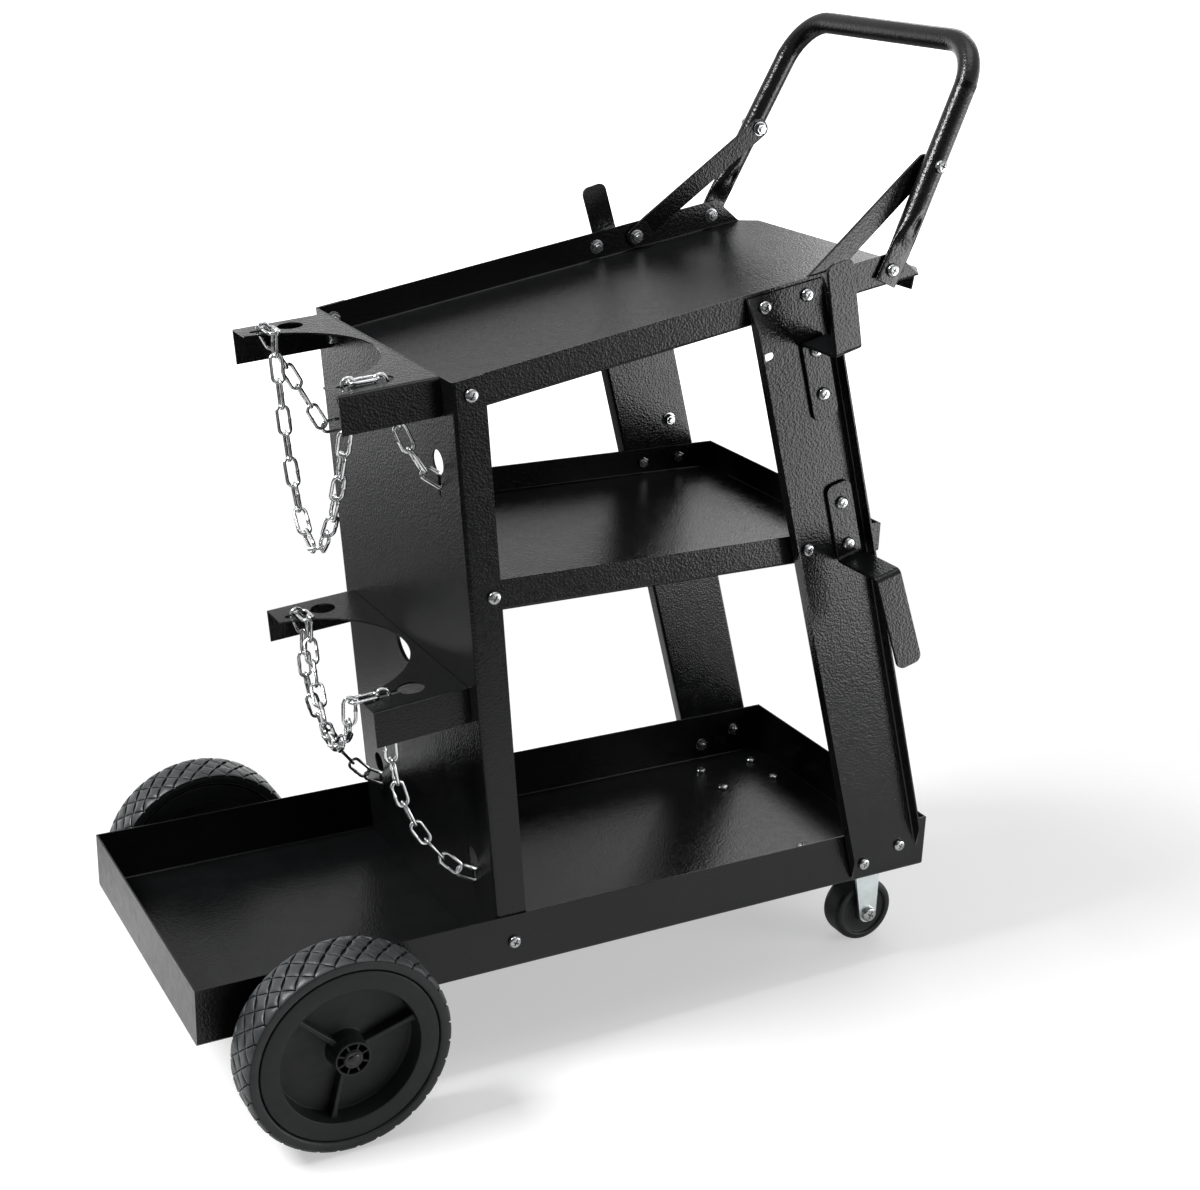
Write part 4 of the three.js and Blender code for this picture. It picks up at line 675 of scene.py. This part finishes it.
def add_pad(bm, rows):
    """A raised rubber pad over rows of (column, run) spots: an eased rim and walls down to the carcass."""
    tall, wide = len(rows) - 1, len(rows[0]) - 1
    grid = {}
    for i, row in enumerate(rows):
        for j, (column, run) in enumerate(row):
            rim = i in (0, tall) or j in (0, wide)
            grid[i, j] = bm.verts.new(tread_point(TAU * column / TREAD_COUNT, run, 0.5 if rim else 0))
    for i in range(tall):
        for j in range(wide):
            bm.faces.new((grid[i, j], grid[i + 1, j], grid[i + 1, j + 1], grid[i, j + 1]))
    border = [(0, j) for j in range(wide)] + [(i, wide) for i in range(tall)]
    border += [(tall, j) for j in range(wide, 0, -1)] + [(i, 0) for i in range(tall, 0, -1)]
    feet = []
    for i, j in border:
        column, run = rows[i][j]
        feet.append(bm.verts.new(tread_point(TAU * column / TREAD_COUNT, run, TREAD_DEPTH + 0.4)))
    strip(bm, [grid[spot] for spot in border], feet)


def block_spots(column, row):
    """A rhombic block whose sides draw in between its corners."""
    marks = (-1, -0.84, -0.3, 0.3, 0.84, 1)
    spots = []
    for p in marks:
        for_p = []
        for q in marks:
            a, b = p * (0.74 + 0.2 * q * q), q * (0.92 + 0.05 * p * p)
            for_p.append((column + (a + b) / 4, TREAD_PITCH * (row + (a - b) / 2)))
        spots.append(for_p)
    return spots


def shoulder_spots(column, side):
    """A block that points to the middle of the tread and ends square on the side of the tyre."""
    inner, full = 1.1 * TREAD_PITCH, 2 * TREAD_PITCH
    runs = (inner, inner + 1.6, 15.2, 17.8, full, 21.6, 22.4, SIDE_START - 0.7, SIDE_START)
    spots = []
    for run in runs:
        half = 0.44 * max(min((run - inner) / (full - inner), 1), 0.06)
        spots.append([(column + half * s, side * run) for s in (-1, -0.82, -0.3, 0.3, 0.82, 1)])
    return spots


def add_wheels():
    for hand, side in SIDES.items():
        place = Matrix.Translation((WHEEL_X, side * WHEEL_Y, WHEEL_RADIUS))
        body = f"{hand}_rear_wheel"
        add_tyre(hand, body, place)
        add_hub(hand, body, place, side)
        bm = bmesh.new()
        start = 205.6 - WHEEL_Y
        dome = [(7.2, start), (7.2, start + 0.5), (6.4, start + 0.7)] + [
            (5.4 * math.cos(t), start + 0.7 + 1.65 * math.sin(t)) for t in (math.pi / 2 * i / 8 for i in range(8))]
        revolve(bm, [(0, start)] + dome + [(0, start + 2.4)], 40, closed=False)
        flip = Matrix.Diagonal((1, side, 1, 1))
        show(f"{hand}_axle_push_cap", mesh_of(bm, place @ flip), "cap", "cart", [f"{hand}_axle_cap"])


def add_tyre(hand, body, place):
    bm = bmesh.new()
    runs = [SIDE_START * i / 20 for i in range(-20, 21)]
    outside = [tread_point(0, run, TREAD_DEPTH) for run in runs]
    outside = [tread_point(0, -SIDE_END, 0), *outside, tread_point(0, SIDE_END, 0)]
    bead = [(78.6, 21.3), (77.4, 20.4), (76.3, 18.6), (76.3, -18.6), (77.4, -20.4), (78.6, -21.3)]
    revolve(bm, [(point.x, point.y) for point in outside] + bead, TREAD_COUNT * 6)
    show(f"{hand}_tyre_carcass", mesh_of(bm, place), "rubber", body, [f"{hand}_tyre"], sharp=50)
    bm = bmesh.new()
    for i in range(TREAD_COUNT):
        for row in (-1, 0, 1):
            add_pad(bm, block_spots(i + row % 2 / 2, row))
        for side in SIDES.values():
            add_pad(bm, shoulder_spots(i, side))
    show(f"{hand}_tyre_blocks", mesh_of(bm, place), "tread", body, sharp=50)


def add_hub(hand, body, place, side):
    bm = bmesh.new()
    boss, dish, rim = 15.0, 61.0, 20.0
    web = 2.5
    inner = 6.4
    profile = [(inner, -23.3), (boss, -23.3), (boss + 1.5, -web - 1), (30, -web), (dish - 3, -web),
               (dish - 1.5, -rim), (75.2, -rim), (75.9, -rim + 1.2), (75.9, rim - 1.2), (75.2, rim), (dish - 1.5, rim),
               (dish - 3, web), (30, web), (boss + 1.5, web + 1), (boss, 16.2), (inner, 16.2)]
    revolve(bm, eased(profile, 0.9, 3), 96)
    for wall_in, wall_out in ((13.4, boss), (inner + 0.2, 8.2)):
        ring = [(wall_in, 15.5), (wall_out, 15.5), (wall_out, 23.3), (wall_in, 23.3)]
        revolve(bm, eased(ring, 0.4, 3), 64)
    for i in range(8):
        turn = Matrix.Rotation(TAU * (i + 0.5) / 8, 4, "Y")
        part = bmesh.new()
        box(part, (7.6, 15.5, -0.7), (14.0, 22.9, 0.7))
        part.transform(turn)
        merge(bm, part)
    for face in (1, -1):
        for i in range(3):
            turn = Matrix.Rotation(-math.radians(17) - TAU * i / 3, 4, "Y") @ Matrix.Diagonal((1, face, 1, 1))
            part = bmesh.new()
            rings = []
            for x, half, height in ((12, 2.9, 13.5), (16, 2.2, 12.8), (24, 2.0, 12.5), (50, 2.0, 12.5),
                                    (54, 2.4, 12.6), (59.6, 3.4, 13.0)):
                rings.append([turn @ Vector((x, y, z)) for y, z in (
                    (1, -half - 0.4), (height - 0.7, -half), (height, -half + 0.7), (height, half - 0.7),
                    (height - 0.7, half), (1, half + 0.4))])
            loft(part, rings)
            merge(bm, part)
    made = show(f"{hand}_hub_moulding", mesh_of(bm, place @ Matrix.Diagonal((1, side, 1, 1))), "plastic", body,
                [f"{hand}_hub"], sharp=34)
    return made


def merge(bm, part):
    mesh = bpy.data.meshes.new("part")
    part.to_mesh(mesh)
    part.free()
    bm.from_mesh(mesh)
    bpy.data.meshes.remove(mesh)


# Casters and axle
def add_casters():
    for hand, side in SIDES.items():
        place = Matrix.Translation((CASTER_X + CASTER_TRAIL, side * CASTER_Y, CASTER_RADIUS))
        bm = bmesh.new()
        right = [(4.3, 14.4), (9.2, 14.4), (10.5, 10.6), (18, 10.2), (23.6, 10.5), (24.6, 12.6), (25.4, 13.0),
                 (28.0, 13.0), (30.6, 12.0), (31.7, 8.5), (31.75, 0)]
        profile = right + [(r, -y) for r, y in right[-2::-1]]
        revolve(bm, eased(profile, 0.8, 3), 72)
        show(f"{hand}_caster_tyre", mesh_of(bm, place), "plastic", f"{hand}_caster_roller",
             [f"{hand}_caster_wheel"], sharp=40)
        add_screw(f"{hand}_caster_bolt", place @ Vector((0, -18.5, 0)), Y, 37, [f"{hand}_caster_axle"], 3.8,
                  body=f"{hand}_caster_swivel")
        for part, look in (("caster_plate", "fork"), ("caster_kingpin", "zinc"), ("caster_fork", "fork"),
                           ("axle_spacer", "zinc")):
            keep(f"{hand}_{part}", look)
    keep("rear_axle", "zinc")


def keep(name, look):
    node = nodes[name]
    node.data.materials.clear()
    node.data.materials.append(FINISHES[look])
    node.data.shade_smooth()
    soften(node, 0.4, weld=True)


# Studio
def add_studio():
    scene = bpy.context.scene
    scene.view_settings.view_transform = "Standard"
    world = bpy.data.worlds.new("studio")
    scene.world = world
    world.use_nodes = True
    tree = world.node_tree
    sky = tree.nodes["Background"]
    heading = tree.nodes.new("ShaderNodeTexCoord").outputs["Generated"]
    fades = []
    for way, start, end, low, high in (((0.75, 0.45, 0.5), -0.34, 0.0, 0.14, 1.0), ((0, 0, 1), -0.38, -0.20, 0.1, 1.0),
                                       ((0, 0, 1), -0.05, 0.32, 2.0, 0.62)):
        facing = tree.nodes.new("ShaderNodeVectorMath")
        facing.operation = "DOT_PRODUCT"
        facing.inputs[1].default_value = way
        tree.links.new(heading, facing.inputs[0])
        fade = tree.nodes.new("ShaderNodeMapRange")
        fade.interpolation_type = "SMOOTHSTEP"
        for label, value in (("From Min", start), ("From Max", end), ("To Min", low), ("To Max", high)):
            fade.inputs[label].default_value = value
        tree.links.new(facing.outputs["Value"], fade.inputs["Value"])
        fades.append(fade.outputs["Result"])
    shade = fades[0]
    for fade in fades[1:]:
        product = tree.nodes.new("ShaderNodeMath")
        product.operation = "MULTIPLY"
        tree.links.new(shade, product.inputs[0])
        tree.links.new(fade, product.inputs[1])
        shade = product.outputs["Value"]
    rays = tree.nodes.new("ShaderNodeLightPath")
    tone = tree.nodes.new("ShaderNodeMath")
    tone.operation = "MAXIMUM"
    tree.links.new(shade, tone.inputs[0])
    tree.links.new(rays.outputs["Is Camera Ray"], tone.inputs[1])
    seen = rays.outputs["Is Camera Ray"]
    for label in ("Is Glossy Ray", "Is Transmission Ray"):
        either = tree.nodes.new("ShaderNodeMath")
        either.operation = "MAXIMUM"
        tree.links.new(seen, either.inputs[0])
        tree.links.new(rays.outputs[label], either.inputs[1])
        seen = either.outputs["Value"]
    level = tree.nodes.new("ShaderNodeMapRange")
    level.inputs["To Min"].default_value = 0.3
    tree.links.new(seen, level.inputs["Value"])
    tree.links.new(tone.outputs["Value"], sky.inputs["Color"])
    tree.links.new(level.outputs["Result"], sky.inputs["Strength"])

    mesh = bpy.data.meshes.new("floor")
    mesh.from_pydata([(-6, -6, 0), (6, -6, 0), (6, 6, 0), (-6, 6, 0)], [], [(0, 1, 2, 3)])
    floor = bpy.data.objects.new("floor", mesh)
    scene.collection.objects.link(floor)
    floor.location.z = -0.0004
    material = bpy.data.materials.new("floor")
    material.use_nodes = True
    tree = material.node_tree
    tree.nodes.remove(tree.nodes["Principled BSDF"])
    matt = tree.nodes.new("ShaderNodeBsdfDiffuse")
    matt.inputs["Color"].default_value = (0.62, 0.62, 0.62, 1)
    glow = tree.nodes.new("ShaderNodeEmission")
    rays = tree.nodes.new("ShaderNodeLightPath")
    seen = tree.nodes.new("ShaderNodeMath")
    seen.operation = "MULTIPLY"
    seen.inputs[1].default_value = 0.46
    tree.links.new(rays.outputs["Is Camera Ray"], seen.inputs[0])
    mirrored = tree.nodes.new("ShaderNodeMath")
    mirrored.operation = "MULTIPLY_ADD"
    mirrored.inputs[1].default_value = 0.25
    tree.links.new(rays.outputs["Is Glossy Ray"], mirrored.inputs[0])
    tree.links.new(seen.outputs["Value"], mirrored.inputs[2])
    tree.links.new(mirrored.outputs["Value"], glow.inputs["Strength"])
    paper = tree.nodes.new("ShaderNodeAddShader")
    tree.links.new(matt.outputs["BSDF"], paper.inputs[0])
    tree.links.new(glow.outputs["Emission"], paper.inputs[1])
    clear = tree.nodes.new("ShaderNodeBsdfTransparent")
    blend = tree.nodes.new("ShaderNodeMixShader")
    reach = tree.nodes.new("ShaderNodeVectorMath")
    reach.operation = "DISTANCE"
    reach.inputs[1].default_value = (0.04, -0.22, 0)
    tree.links.new(tree.nodes.new("ShaderNodeTexCoord").outputs["Object"], reach.inputs[0])
    ease = tree.nodes.new("ShaderNodeMapRange")
    ease.interpolation_type = "SMOOTHSTEP"
    ease.inputs["From Min"].default_value = 0.6
    ease.inputs["From Max"].default_value = 1.0
    tree.links.new(reach.outputs["Value"], ease.inputs["Value"])
    tree.links.new(ease.outputs["Result"], blend.inputs["Fac"])
    tree.links.new(paper.outputs["Shader"], blend.inputs[1])
    tree.links.new(clear.outputs["BSDF"], blend.inputs[2])
    tree.links.new(blend.outputs["Shader"], tree.nodes["Material Output"].inputs["Surface"])
    mesh.materials.append(material)

    for name, spot, aim, size, power in (
            ("key", (-2.6, 0.3, 3.4), (0, 0, 0.3), 1.3, 180),
            ("top", (0.4, -0.6, 4.4), (0, 0, 0.3), 2.6, 36),
            ("side", (1.25, -1.0, 0.25), (0.1, 0, 0.5), 0.8, 11),
            ("rim", (1.9, 1.5, 1.9), (0, 0, 0.3), 1.5, 12)):
        light = bpy.data.lights.new(name, "AREA")
        light.size = size
        light.energy = power
        lamp = bpy.data.objects.new(name, light)
        scene.collection.objects.link(lamp)
        lamp.location = spot
        lamp.rotation_euler = (Vector(aim) - Vector(spot)).to_track_quat("-Z", "Y").to_euler()


def add_camera():
    azimuth, elevation, roll = math.radians(-29.2035), math.radians(20.3117), math.radians(1.946)
    back = Vector((math.sin(azimuth) * math.cos(elevation), -math.cos(azimuth) * math.cos(elevation),
                   math.sin(elevation)))
    right = (-back).cross(Z).normalized()
    up = right.cross(-back)
    cos, sin = math.cos(roll), math.sin(roll)
    axes = Matrix((right * cos + up * sin, up * cos - right * sin, back)).transposed()
    lens = bpy.data.cameras.new("camera")
    lens.sensor_fit = "HORIZONTAL"
    lens.sensor_width = 36
    lens.lens = 57.944
    camera = bpy.data.objects.new("camera", lens)
    bpy.context.scene.collection.objects.link(camera)
    camera.matrix_world = Matrix.Translation((-0.7230, -1.4277, 0.9660)) @ axes.to_4x4()
    bpy.context.scene.camera = camera


add_sheets()
add_hooks()
add_braces()
add_handle()
add_chains()
add_screws()
add_wheels()
add_casters()
add_studio()
add_camera()
